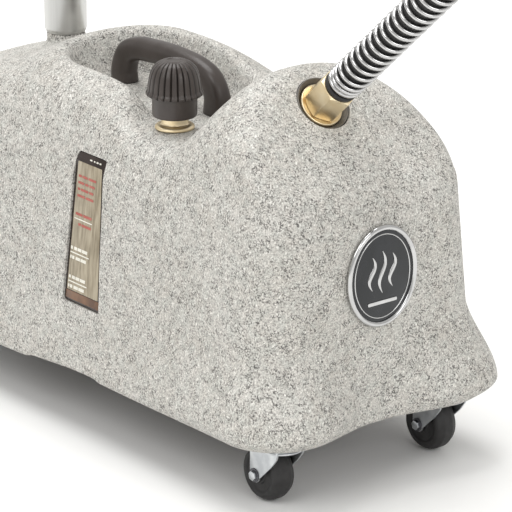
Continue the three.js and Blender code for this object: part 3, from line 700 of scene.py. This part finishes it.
def add_head():
    """The fan-shaped steam head, its wooden grip and the ferrule that the hose ends in."""
    z = CRADLE["top"] + GAP
    outline = [(-24, 0), (24, 0), (68, 48), (72, 66), (66, 78), (-66, 78), (-72, 66), (-68, 48)]
    fan = slab(loop(outline, 9, 5), -16, 16)
    body = block("head_body", moved(fan, at(0, HEAD_Y, z) @ turn(math.pi / 2, "X")), 5, 5)
    cut(body, make_object("lip", slab(oval(60, 12.5, 48, 6), z + 74, z + 90), HEAD_FRAME))
    piece("head_body", body, "steam_head", "pole_aluminium", ["steam_head"])
    stem = rod(9, HOSE_END_Z + 22, CRADLE["top"] + 5)
    piece("head_stem", stem, "steam_head", "pole_aluminium", place=HEAD_FRAME)
    pad = slab(oval(59, 11.6, 48, 6), z + 71, z + 76)
    piece("head_face_pad", pad, "steam_head", "black_rubber", place=HEAD_FRAME, bevel=1.2)
    hole = rod(1.5, z + 76.1, z + 76.6, 0.1, 16)
    holes = [moved(hole, at(x, y, 0)) for x in range(-48, 49, 12) for y in (-5, 5)]
    piece("head_steam_holes", merged(*holes), "steam_head", "brass", place=HEAD_FRAME)

    grip = [(9.3, 0), (13, 0), (15, 5), (16, 23), (17.5, 58), (16.5, 93), (15, 113), (12, 121), (9.3, 121)]
    place = HEAD_FRAME @ at(z=HOSE_END_Z + 22)
    handle = piece("head_grip", ring(grip, 6, steps=5), "steam_head", "grip_wood", ["head_handle"], place)
    ferrule = [(0, GAP), (11.2, GAP), (12.5, 3), (12.5, 8), (11.6, 9), (12.5, 10), (12.5, 20), (0, 21.7)]
    ferrule = lathe(rounded(ferrule, 0.8))
    place = HEAD_FRAME @ at(z=HOSE_END_Z)
    end = piece("hose_end_ferrule", ferrule, "steam_head", "brass", ["head_ferrule"], place)
    return handle, end


hose, hose_path = add_hose()
guard = add_guard()
head_grip, hose_end = add_head()


# ---------------- housing form
def smoothstep(start, end, value):
    t = np.clip((value - start) / (end - start), 0, 1)
    return t * t * (3 - 2 * t)


def blend_max(a, b, width):
    """The larger of two fields, with a rounded crease of about the given width."""
    overlap = np.maximum(width - np.abs(a - b), 0) / width
    return np.maximum(a, b) + overlap * overlap * width / 4


def soft_ramp(t, rounding):
    """Ramps up from 0 with slope 1, rounded over the given length."""
    return (t + np.hypot(t, rounding)) / 2


def ridge(y):
    """Height of the roof's ridge at a station along the body."""
    dip = SADDLE["dip"] * np.exp(-(((y - SADDLE["y"]) / SADDLE["width"]) ** 2))
    lobe = LOBE["rise"] * smoothstep(LOBE["y0"], LOBE["y1"], y)
    hump = HUMP["drop"] * smoothstep(HUMP["y0"], HUMP["y1"], y)
    fall = REAR_SLOPE["slope"] * soft_ramp(y - REAR_SLOPE["from"], REAR_SLOPE["rounding"])
    return RIDGE_Z - hump - fall - dip + lobe


def distance_to_segment(x, y, x0, y0, x1, y1):
    length = math.hypot(x1 - x0, y1 - y0)
    s = np.clip(((x - x0) * (x1 - x0) + (y - y0) * (y1 - y0)) / length**2, 0, 1)
    return np.hypot(x - x0 - s * (x1 - x0), y - y0 - s * (y1 - y0))


def hollow(distance, z, floor, shape):
    """Above zero over a flat-bottomed hollow whose sides rise as a parabola."""
    s = np.maximum(distance - shape["flat"], 0) / shape["run"]
    slope = 2 * shape["rise"] * s / shape["run"]
    return (z - floor - shape["rise"] * s * s) / np.hypot(1, slope)


def arch_field(across, height, span, rise, power):
    """Distance outside the arch of the roof, a superellipse that fades out below the shoulder."""
    a = np.maximum(across / span, 1e-6)
    b = np.maximum(height, 0) / rise
    size = (a**power + b**power) ** (1 / power)
    steepness = np.hypot(a ** (power - 1) / span, b ** (power - 1) / rise)
    return (size - 1) / (size ** (1 - power) * steepness) + np.minimum(height, 0)


def housing_field(x, y, z):
    """Below zero inside the housing's outer form, which runs on downwards past its bottom edge."""
    spread = smoothstep(TOE_TOP_Z, TOE_FULL_Z, z)
    curl = TOE_CURL * smoothstep(TOE_FULL_Z, EDGE_Z - 4, z)
    toe_x = smoothstep(70, 195, np.abs(y)) * (TOE_X * spread - curl)
    toe_y = smoothstep(5, 65, np.abs(x)) * (TOE_Y * spread - curl)
    half_x = HALF_WIDTH - SIDE_LEAN * (z - EDGE_Z) + toe_x
    half_y = HALF_LENGTH - np.where(y > 0, REAR_LEAN * (z - EDGE_Z), 0) + toe_y
    qx = np.abs(x) - half_x + CORNER_RADIUS
    qy = np.abs(y) - half_y + CORNER_RADIUS
    corner = np.hypot(np.maximum(qx, 0), np.maximum(qy, 0))
    wall = corner + np.minimum(np.maximum(qx, qy), 0) - CORNER_RADIUS

    front = smoothstep(FRONT["y0"], FRONT["y1"], y)
    shoulder = SHOULDER_Z + FRONT["shoulder"] * front
    power = ROOF_POWER + (FRONT["power"] - ROOF_POWER) * front
    rise = np.maximum(ridge(y) - shoulder, 1)
    roof = arch_field(np.abs(x), z - shoulder, half_x + ROOF_MARGIN, rise, power)
    slant = (z - OUTLET.z) * math.cos(FACET_TILT) - (y - OUTLET.y) * math.sin(FACET_TILT)
    in_dish = distance_to_segment(x, y, DISH["x"], DISH["y0"], DISH["x"], DISH["y1"])
    in_scoop = distance_to_segment(x, y, FILLER.x, FILLER.y, SCOOP["x"], SCOOP["y"])

    field = blend_max(wall, roof, BLEND["roof"] + BLEND["rear_roof"] * smoothstep(100, 200, y))
    field = blend_max(field, slant, BLEND["facet"])
    field = blend_max(field, hollow(in_dish, z, DISH["floor"], DISH), BLEND["dish"])
    return blend_max(field, hollow(in_scoop, z, FILLER.z, SCOOP), BLEND["scoop"])


def edge_height(y):
    """Height of the housing's bottom edge, lifted between the feet."""
    lift = ARCH_RISE * smoothstep(ARCH_HALF + 5, ARCH_HALF - 5, np.abs(y))
    return EDGE_Z + lift - REAR_DROP["height"] * smoothstep(REAR_DROP["y0"], REAR_DROP["y1"], y)


def outer_field(x, y, z):
    boss = np.maximum(np.hypot(x, y - POLE["y"]) - BOSS_RADIUS, z - POLE["foot"] + GAP)
    body = -blend_max(-housing_field(x, y, z), -boss, 5)
    return blend_max(body, edge_height(y) - z, 3)


def inner_field(x, y, z):
    return np.maximum(housing_field(x, y, z) + WALL, INSIDE_FOOT_Z - z)


def skin(field, low, high, cell):
    """A closed mesh of field = 0: one point in each grid cell that the surface crosses."""
    axes = [np.arange(a, b + cell, cell) for a, b in zip(low, high)]
    values = field(*np.meshgrid(*axes, indexing="ij"))
    size = [n - 1 for n in values.shape]
    corners = [(i, j, k) for k in (0, 1) for j in (0, 1) for i in (0, 1)]

    def corner_values(corner):
        return values[tuple(slice(c, c + n) for c, n in zip(corner, size))]

    total = np.zeros((*size, 3))
    crossings = np.zeros(size)
    for a in corners:
        for b in corners:
            if a >= b or sum(p != q for p, q in zip(a, b)) != 1:
                continue
            va, vb = corner_values(a), corner_values(b)
            crossed = (va < 0) != (vb < 0)
            t = np.where(crossed, va / np.where(va == vb, 1, va - vb), 0)
            for k in range(3):
                total[..., k] += crossed * (a[k] + t * (b[k] - a[k]))
            crossings += crossed
    filled = crossings > 0
    index = np.full(size, -1)
    index[filled] = np.arange(filled.sum())
    points = (total[filled] / crossings[filled][:, None] + np.argwhere(filled)) * cell + np.array(low)
    for _ in range(4):
        points = settled(field, points, cell)

    faces = []
    for k in range(3):
        u, v = (k + 1) % 3, (k + 2) % 3
        near = values.take(range(size[k]), axis=k) < 0
        far = values.take(range(1, size[k] + 1), axis=k) < 0
        for start in np.argwhere(near != far):
            if min(start[u], start[v]) < 1 or start[u] >= size[u] or start[v] >= size[v]:
                continue
            quad = []
            for du, dv in ((1, 1), (0, 1), (0, 0), (1, 0)):
                cell_at = start.copy()
                cell_at[u] -= du
                cell_at[v] -= dv
                quad.append(int(index[tuple(cell_at)]))
            faces.append(quad if near[tuple(start)] else quad[::-1])
    return points.tolist(), faces


def settled(field, points, cell):
    """The points, moved one step along the field's slope towards field = 0."""
    h = 0.05
    value = field(*points.T)
    slope = np.empty_like(points)
    for k in range(3):
        nudge = np.zeros(3)
        nudge[k] = h
        slope[:, k] = (field(*(points + nudge).T) - field(*(points - nudge).T)) / (2 * h)
    step = np.clip(value / np.maximum((slope**2).sum(1), 0.1), -cell / 3, cell / 3)
    return points - slope * step[:, None]


def trapezoid(grow, radius):
    top, bottom = WINDOW["top_half"] + grow, WINDOW["bottom_half"] + grow
    half = WINDOW["height"] / 2 + grow
    shift = WINDOW["top_shift"]
    outline = [(-bottom, -half), (bottom, -half), (top + shift, half), (-top + shift, half)]
    return loop(outline, radius, 5)


def add_housing():
    body = make_object("housing", skin(outer_field, LIMIT_LOW, LIMIT_HIGH, SKIN_CELL))
    tidy_normals(body, 60)
    inside_low = (LIMIT_LOW[0], LIMIT_LOW[1], 0)
    inside = make_object("inside", skin(inner_field, inside_low, LIMIT_HIGH, INSIDE_CELL))
    seat = lathe([(0, -40), (11, -40), (11, 0), (15, 0), (15, 32), (0, 32)])
    spigot_hole = rod(SPIGOT_RADIUS + GAP, POLE["foot"] - 58, POLE["foot"] + 14)
    cut(
        body,
        inside,
        make_object("outlet_hole", rod(OUTLET_HOLE, -25, 18), OUTLET_FRAME),
        make_object("filler_seat", seat, FILLER_FRAME),
        make_object("spigot_hole", spigot_hole, POLE_FRAME),
        make_object("window_hole", slab(trapezoid(GAP, 3), -12, 8), SIGHT_FRAME),
        make_object("panel_flat", slab(loop(oblong(*PANEL_FLAT), 8, 5), GAP, 14), REAR_FRAME),
        make_object("switch_hole", slab(oblong(*SWITCH_OPENING), -10, 10), REAR_FRAME),
        make_object("lamp_hole", rod(LAMP_HOLE, -10, 10), REAR_FRAME @ at(y=LAMP_DROP)),
        make_object("gland_hole", rod(GLAND_HOLE, -10, 10), REAR_FRAME @ at(y=GLAND_DROP)),
    )
    piece("housing", body, "housing", "housing_speckle", ["housing_shell"], crease=50)


add_housing()


# ---------------- filler, cap and carry handle
def add_filler():
    neck = [(7.5, -40), (9.5, -40), (9.5, GAP), (14, GAP), (14, 1.7), (12.6, 2.9), (10.2, 3.3)]
    neck += [(9.5, 4.2), (9.5, 19), (9, 20), (7.5, 20)]
    piece("filler_neck_brass", ring(neck, 0.5, 96), "housing", "brass", ["filler_neck"], FILLER_FRAME)

    flutes = 24

    def flute(angle, r, z):
        """Broad ribs with narrow grooves between them, which fade out over the crown."""
        if z < 24.6 or r < 5:
            return r
        groove = abs(math.cos(angle * flutes / 2)) ** 14
        return r - 1.2 * groove * min(1, (r - 5) / 5)

    cap = [(10, 9.2), (15.3, 9.2), (15.9, 10.2), (15.9, 24.5), (19.6, 24.5), (20.4, 25.2), (20.2, 26.6)]
    cap += [(19.2, 28), (18.7, 32), (18, 36.5), (17, 40.5), (15.3, 44.2), (12.6, 47), (9.2, 48.8)]
    cap += [(5.4, 49.6), (4.8, 49), (0, 49.1)]
    bore = [(0, 22.4), (10, 22.4), (10, 9.2)]
    profile = rounded(cap, 0.7, 2) + rounded(bore, 0.3)
    profile.append(profile[0])
    shape = lathe(profile[::-1], flutes * 10, flute)
    piece("filler_cap_knob", shape, "filler_cap", "dark_plastic", ["filler_cap"], FILLER_FRAME, crease=38)


def add_carry_handle():
    foot = DISH["floor"] + GAP
    route = [(0, 66, foot), (0, 66, 236), (0, 60.5, 248), (0, 48, 254), (0, 30, 256), (0, 9, 257)]
    route += [(0, -10, 256.5), (0, -27, 254.5), (0, -38.5, 249), (0, -44.5, 238), (0, -44.5, foot)]
    path = curve(route)
    last = len(path) - 1
    leg_points = 34

    def section(i):
        """Thicker at a foot, and at its thinnest once the path has left the leg."""
        leg = max(0, 1 - min(i, last - i) / leg_points)
        return oval(7.4 + 0.6 * leg, 8.6 + 2.8 * leg, 40, 2.7)

    shape = sweep(path, [Vector((1, 0, 0))] * len(path), section)
    piece("carry_handle_bow", shape, "housing", "dark_plastic", ["carry_handle"], crease=50)


add_filler()
add_carry_handle()


# ---------------- pole, hook and cradle
def add_pole():
    radius, bore = POLE["radius"], POLE["radius"] - POLE["wall"]

    def pole_tube(z0, z1):
        profile = [(bore, z0), (radius - 1.2, z0), (radius, z0 + 2.6)]
        profile += [(radius, z1 - 1), (radius - 0.8, z1), (bore, z1)]
        return ring(profile, 0.5, 96)

    lower, upper = pole_tube(POLE["foot"], POLE["joint"]), pole_tube(POLE["joint"] + GAP, POLE["top"])
    piece("pole_lower_tube", lower, "housing", "pole_aluminium", ["pole_lower"], POLE_FRAME)
    piece("pole_upper_tube", upper, "housing", "pole_aluminium", ["pole_upper"], POLE_FRAME)
    collar = [(radius + GAP, -20), (radius + 1.6, -20), (radius + 2.2, -17), (radius + 2.2, -4)]
    collar += [(radius + 1.6, -3), (radius + 1.6, 3), (radius + 2.2, 4), (radius + 2.2, 17)]
    collar += [(radius + 1.6, 20), (radius + GAP, 20)]
    place = POLE_FRAME @ at(z=POLE["joint"])
    sleeve = ring(collar, 0.6, 96)
    piece("pole_coupling_sleeve", sleeve, "housing", "dark_plastic", ["pole_coupling"], place)
    top, bar = POLE["top"] + GAP, HOOK["z"]
    cap = [(0, top), (radius, top), (radius, bar - 14), (12, bar - 10), (12, bar + 11), (0, bar + 14)]
    cap_body = make_object("cap_body", lathe(rounded(cap, 1.6, 4)), POLE_FRAME)
    tidy_normals(cap_body, 40)
    across = POLE_FRAME @ at(z=bar) @ turn(math.pi / 2, "Y")
    cut(cap_body, make_object("hook_bore", rod(HOOK["radius"] + GAP, -30, 30), across))
    piece("pole_top_cap", cap_body, "housing", "dark_plastic", ["pole_cap"])


def add_hook():
    half, rise = HOOK["half"], HOOK["rise"]
    arm = [(half + 12, 0, rise), (half + 6, 0, 12), (half - 6, 0, 2), (half - 30, 0, 0)]
    other = [(-x, y, z) for x, y, z in arm][::-1]
    path = curve([*arm, (40, 0, 0), (0, 0, 0), (-40, 0, 0), *other], 14)
    last = len(path) - 1

    def section(i):
        from_end = min(i, last - i)
        r = HOOK["radius"] * (0.72, 0.9, 0.98)[from_end] if from_end < 3 else HOOK["radius"]
        return oval(r, r, 20)

    shape = sweep(path, [Vector((0, 1, 0))] * len(path), section)
    place = POLE_FRAME @ at(z=HOOK["z"])
    piece("hanger_bar", shape, "housing", "spring_chrome", ["hanger_hook"], place)


def add_cradle():
    half, slot, front = CRADLE["half"], CRADLE["slot"], CRADLE["front"]
    back = [(slot * math.cos(a), HEAD_Y + slot * math.sin(a)) for a in np.linspace(math.pi, 0, 17)]
    outline = [(-half, POLE["y"]), (-half, front), (-slot, front), *back, (slot, front), (half, front)]
    outline.append((half, POLE["y"]))
    plate = block("cradle_plate", slab(outline[::-1], CRADLE["z"], CRADLE["top"]), 1)
    tidy_normals(plate, 30)
    bore, ring_half = POLE["radius"] + GAP, CRADLE["ring_half"]
    cut(plate, make_object("bore", rod(bore, CRADLE["z"] - 30, CRADLE["z"] + 30), POLE_FRAME))
    clamp = tube(bore, half, CRADLE["z"] - ring_half, CRADLE["z"] + ring_half, 1.4)
    piece("cradle_bracket", plate, "housing", "dark_plastic", ["head_cradle"])
    piece("cradle_ring", clamp, "housing", "dark_plastic", place=POLE_FRAME)
    knob = rounded([(0, 0), (7, 0), (9, 3), (9, 9), (7, 11), (0, 11)], 1.5, 4)
    knob = moved(lathe(knob, 60), turn(-math.pi / 2, "X"))
    place = at(0, POLE["y"] + half - 1, CRADLE["z"])
    piece("cradle_clamp_knob", knob, "housing", "dark_plastic", place=place)


add_pole()
add_hook()
add_cradle()


# ---------------- hose outlet
def add_outlet():
    grommet = [(16.4, -9), (20.2, -9), (20.2, -0.6), (19.6, 0.4), (16.8, -3.4), (16.4, -4)]
    shape, look = ring(grommet, 0.5, 96), "grommet_grey"
    piece("outlet_grommet", shape, "housing", "black_rubber", ["hose_grommet"], OUTLET_FRAME, look)
    collar = [(6, -30), (9, -30), (9, -5), (16.2, -5), (16.2, -2.2)]
    collar += [(15.4, -1.4), (14.4, -1.8), (8.5, -2.6), (8.5, 29), (6, 29)]
    piece("outlet_collar_brass", ring(collar, 0.5, 96), "housing", "brass", ["outlet_collar"], OUTLET_FRAME)

    hexagon = polygon(NUT_ACROSS / 2 / math.cos(math.pi / 6), 6, math.pi / 6)
    nut = make_object("nut", slab(hexagon, -1.8, NUT_END))
    tidy_normals(nut, 30)
    top = NUT_END + 1
    chamfer = [(11.6, -2), (14.6, 0), (14.6, NUT_END - 1.6), (12.3, NUT_END)]
    chamfer += [(12.3, top), (30, top), (30, -2)]
    cut(nut, make_object("chamfer", lathe([*chamfer, chamfer[0]], 96)))
    bevelled(nut, 0.5, 2, 25)
    place_mesh(nut, OUTLET_FRAME)
    piece("hose_hex_nut", nut, "housing", "brass", ["hose_nut"], crease=25)
    sleeve = tube(8.8, 12.2, NUT_END + GAP, GUARD_FOOT - 0.2, 1.2)
    piece("hose_dark_ring", sleeve, "housing", "black_rubber", ["hose_ferrule"], OUTLET_FRAME)


add_outlet()


# ---------------- window and its level scale
def add_lens():
    """The window's face; its top leans back to follow the wall into the roof."""
    lens = make_object("lens", slab(trapezoid(0, 3), -6, LENS_FRONT))
    start, length = LENS_LEAN["from"], 20
    end, sunk = start + length, LENS_FRONT - length * LENS_LEAN["slope"]
    wedge = slab([(start, LENS_FRONT), (end, sunk), (end, 4), (start, 4)], -30, 30)
    cut(lens, make_object("wedge", moved(wedge, ACROSS)))
    place_mesh(lens, SIGHT_FRAME)
    piece("window_lens", lens, "housing", "window_plastic", ["sight_window"], bevel=0.6)


def add_window():
    """The lens, the card behind it, dashes in place of its printed words, and painted highlights: a light
    streak and a row of glints.
    """

    def plate(name, outline, look=None, replaced=()):
        low = LENS_FRONT + 0.02
        shape = slab(loop(outline, 0.8), low, low + 0.2)
        piece(name, shape, "housing", "scale_card", replaced, SIGHT_FRAME, look, bevel=0.05)

    def row(name, y, height, left, dashes, look="mark_white"):
        """A row of dashes whose lengths and gaps take turns, centred on height y."""
        x, bars = left, []
        sunk = LENS_LEAN["slope"] * max(0, y - LENS_LEAN["from"])
        low, high = LENS_FRONT + 0.25 - sunk, LENS_FRONT + 0.4 - sunk
        for i, length in enumerate(dashes):
            if i % 2 == 0:
                dash = oblong(x, y - height / 2, x + length, y + height / 2)
                bars.append(slab(loop(dash, 0.3), low, high))
            x += length
        piece(name, merged(*bars), "housing", "scale_card", place=SIGHT_FRAME, look=look)

    card = [(-18.8, -46.5), (18.2, -46.5), (11.6, 48.4), (-16.4, 48.4)]
    plate("scale_card_face", card, None, ["level_scale"])
    plate("window_amber_foot", [(-20, -53), (19.8, -53), (19.4, -47), (-19.6, -47)], "amber")
    # Painted highlight: a thin light streak down the lens's right side, in place of a reflection
    plate("window_side_painted_highlight", [(18, -32), (18.8, -32), (16.5, 4), (15.8, 4)], "painted_highlight")
    limit_rows = [(3.5, 1, 6, 1.2, 9), (7, 1.2, 4, 1, 6.5), (2.5, 1, 9, 1, 5), (9, 1.2, 9)]
    for number, dashes in enumerate(limit_rows):
        row(f"limit_text_{number}", 38 - 4.8 * number, 1.7, -14.6, dashes, "mark_red")
    row("limit_line_text_0", 10.2, 1.8, -15, (8, 1, 10), "mark_red")
    row("limit_line", 6.6, 0.8, -16, (21,))
    row("limit_line_text_1", 3, 1.8, -11, (3, 1, 11), "mark_red")
    for number, y in enumerate((-18.8, -40.2)):
        row(f"level_text_high_{number}", y + 3.4, 2.3, -17.4, (2.2, 1.6, 3.4, 0.7, 4.6, 0.7, 6.2))
        row(f"level_line_{number}", y, 0.9, -17.8, (22,))
        row(f"level_text_low_{number}", y - 3.5, 2.3, -17.4, (1.4, 0.8, 2.6, 1.6, 5.2, 0.7, 6.4))
    # Painted highlight: small light dashes in the dark band at the lens's top stand in for glints
    row("window_top_glints", 51.6, 1.1, -4, (2.6, 2, 1.6, 1.4, 2.4, 1.2, 2))


add_lens()
add_window()


# ---------------- badge
def add_badge():
    """A plain oval plate with a bright rim and three wisps of steam."""
    half_x, half_z, thick = BADGE["half_x"], BADGE["half_z"], BADGE["thick"]
    plate = slab(oval(half_x - 1.5, half_z - 1.5, 72), 0, thick - 1)
    piece("badge_field", plate, "housing", "badge_enamel", ["badge_plate"], BADGE_FRAME, bevel=0.4)

    def bright_piece(name, shape, bevel=None):
        place, look = BADGE_FRAME, "spring_chrome"
        piece(name, shape, "housing", "badge_enamel", place=place, look=look, bevel=bevel)

    def hoop(name, inset, width, height):
        path = [Vector((x, y, thick - 1)) for x, y in oval(half_x - inset, half_z - inset, 96)]
        path.append(path[0])
        sides = [Vector((p.x, p.y, 0)).normalized() for p in path]
        shape = sweep(path, sides, lambda i: oval(width, height, 12))
        bright_piece(name, shape)

    hoop("badge_rim", 1.9, 1.9, 1.7)
    hoop("badge_inner_line", 6.5, 0.45, 0.5)
    for number, x in enumerate((-9, 0, 9)):
        height = 15 if number == 1 else 12
        path, sides = [], []
        for t in np.linspace(-1, 1, 40):
            path.append(Vector((x + 2.6 * math.sin(t * math.pi), t * height + 3, thick - 0.9)))
            sides.append(Vector((1, 0, 0)))

        def section(i):
            width = 1.5 * math.sin(math.pi * (i + 0.5) / 40) + 0.15
            return oval(width, 0.4 * width + 0.1, 12)

        bright_piece(f"badge_wisp_{number}", sweep(path, sides, section))
    bar = loop(oblong(-13, -20, 13, -17.4), 1.2)
    bright_piece("badge_bar", slab(bar, thick - 1.1, thick - 0.4), 0.2)


add_badge()


# ---------------- rear panel
def add_rear_panel():
    bezel = block("bezel", slab(rectangle(14, 10.5, 1.6), 2 * GAP, 2.4 + 2 * GAP), 0.7)
    tidy_normals(bezel, 30)
    cut(bezel, make_object("bezel_hole", slab(rectangle(9.5, 6, 0.8), -12, 12)))
    place_mesh(bezel, REAR_FRAME)
    piece("switch_surround", bezel, "housing", "dark_plastic", ["switch_bezel"])
    rocker = [(5.4, 4.6), (3.4, 3.55), (1.4, 2.75), (-0.6, 2.2), (-2.8, 1.75), (-5.4, 1.6)]
    rocker = slab([*rocker, (-4.6, -3), (4.6, -3)], -9, 9)
    place = REAR_FRAME @ ACROSS
    piece("rocker", rocker, "power_switch", "rocker_plastic", ["switch_rocker"], place, bevel=0.4)
    lens = [(0, -8), (5, -8), (5, 2 * GAP), (7, 2 * GAP), (6.6, 2.4), (4.6, 3.2), (3.6, 4.4), (0, 5)]
    place = REAR_FRAME @ at(y=LAMP_DROP)
    piece("lamp_lens", lathe(rounded(lens, 0.5)), "housing", "lamp_red", ["indicator_lamp"], place)
    gland = [(4, -12), (7, -12), (7, 2 * GAP), (11, 2 * GAP), (11, 5)]
    gland += [(8, 7), (7.6, 9), (8, 11), (6.5, 16), (4, 16)]
    place = REAR_FRAME @ at(y=GLAND_DROP)
    piece("cord_inlet_gland", ring(gland, 0.6), "housing", "dark_plastic", ["cord_gland"], place)


add_rear_panel()


# ---------------- casters
def fork_leg():
    """One leg of the fork in the YZ plane: a stamped plate that narrows to a round end."""
    y, z, r = CASTER_TRAIL, WHEEL_RADIUS, FORK["tip_radius"]
    tip = [(y + r * math.cos(a), z + r * math.sin(a)) for a in np.linspace(-0.02, -math.pi * 0.92, 14)]
    return [(-11, 44), (-9.4, 38), (-4, 31), *tip[::-1], (19.2, 38), (15, 44)]


def add_caster(corner, x, y):
    body, wheel_body = f"{corner}_swivel", f"{corner}_wheel"
    here = at(x, y, 0)
    plate = [(0, 39.6), (6, 39.6), (6.6, 41.4), (4.2, 42), (4.2, PLATE_Z)]
    plate += [(20, PLATE_Z), (20, PLATE_TOP), (0, PLATE_TOP)]
    piece(f"{corner}_top_plate", lathe(rounded(plate, 0.5)), "housing", "zinc", [f"{corner}_plate"], here)

    inner, outer = FORK["inner"], FORK["inner"] + FORK["thick"]
    legs = [slab(fork_leg(), low, low + FORK["thick"]) for low in (-outer, inner)]
    fork = block("fork", merged(*(moved(leg, ACROSS) for leg in legs)), 0.45, 2)
    place_mesh(fork, here)
    piece(f"{corner}_fork_legs", fork, body, "zinc", [f"{corner}_fork"])
    crown = [(4.6, 42.6), (12.5, 42.6), (15.6, 41.4), (15.9, 42.8), (13.4, 44.6), (12, 46.6), (4.6, 46.6)]
    piece(f"{corner}_fork_crown", ring(crown, 0.7, steps=4), body, "zinc", place=here)

    half = WHEEL_WIDTH / 2
    hub = [(AXLE_RADIUS + GAP, -half), (6.6, -half), (7.2, -half + 1.2), (12.6, -half + 1.8)]
    hub += [(13.6, -half + 0.5), (15.6, -half + 0.1), (17.6, -half + 1.3), (18.6, -half + 3.4)]
    hub.append((WHEEL_RADIUS, -half + 6))
    wheel = ring([*hub, *[(r, -z) for r, z in hub[::-1]]], 0.9, 96, 4)
    axle_place = at(x, y + CASTER_TRAIL, WHEEL_RADIUS) @ turn(math.pi / 2, "Y")
    piece(f"{corner}_rubber_wheel", wheel, wheel_body, "wheel_rubber", [f"{corner}_wheel"], axle_place)

    shaft = [(0, -outer - 1), (AXLE_RADIUS, -outer - 1), (AXLE_RADIUS, outer + 3.2), (0, outer + 3.4)]
    washer = tube(AXLE_RADIUS, 5, outer + 0.05, outer + 0.7, 0.2, 40)
    hexagon = slab(polygon(3.6, 6, 0.3), outer + 0.7, outer + 2.6)
    other_side = turn(math.pi, "X")
    shape = merged(lathe(rounded(shaft, 0.4)), hexagon, moved(hexagon, other_side))
    axle = block("axle", shape, 0.25, 2)
    place_mesh(axle, axle_place)
    piece(f"{corner}_axle_bolt", axle, body, "zinc", [f"{corner}_axle"])
    washers = merged(washer, moved(washer, other_side))
    piece(f"{corner}_axle_washers", washers, body, "zinc", place=axle_place, look="dark_zinc")


for corner_name, (caster_x, caster_y) in CASTERS.items():
    add_caster(corner_name, caster_x, caster_y)


# ---------------- floor and lights
def add_floor():
    half = 12
    corners = [(x, y, 0) for x, y in oblong(-half, -half, half, half)]
    mesh = bpy.data.meshes.new("floor")
    mesh.from_pydata(corners, [], [(0, 1, 2, 3)])
    floor = bpy.data.objects.new("floor", mesh)
    bpy.context.collection.objects.link(floor)
    floor.location.z = -FLOOR_GAP * MM
    look = Look("floor", (0.93, 0.93, 0.92), 0.8)
    mesh.materials.append(look.material)


def add_light(name, place, target, size, power, color=(1, 1, 1)):
    data = bpy.data.lights.new(name, "AREA")
    data.shape = "RECTANGLE"
    data.size, data.size_y = size
    data.energy = power
    data.color = color
    light = bpy.data.objects.new(name, data)
    bpy.context.collection.objects.link(light)
    light.location = place
    light.rotation_mode = "QUATERNION"
    light.rotation_quaternion = (Vector(target) - Vector(place)).to_track_quat("-Z", "Y")


def add_lights():
    add_light("key", (-2.4, -0.6, 2.4), (0, 0, 0.2), (1.6, 1.6), 24)
    add_light("top", (0.0, 0.9, 3.0), (0, 0, 0.2), (2.2, 2.2), 66)
    add_light("front", (-0.2, -3.0, 1.6), (0, 0, 0.2), (1.6, 1.2), 17)
    world = bpy.data.worlds.new("studio")
    world.use_nodes = True
    background = world.node_tree.nodes["Background"]
    background.inputs["Color"].default_value = (1, 0.99, 0.97, 1)
    background.inputs["Strength"].default_value = 0.7
    bpy.context.scene.world = world
    bpy.context.scene.view_settings.view_transform = "Standard"


add_floor()
add_lights()
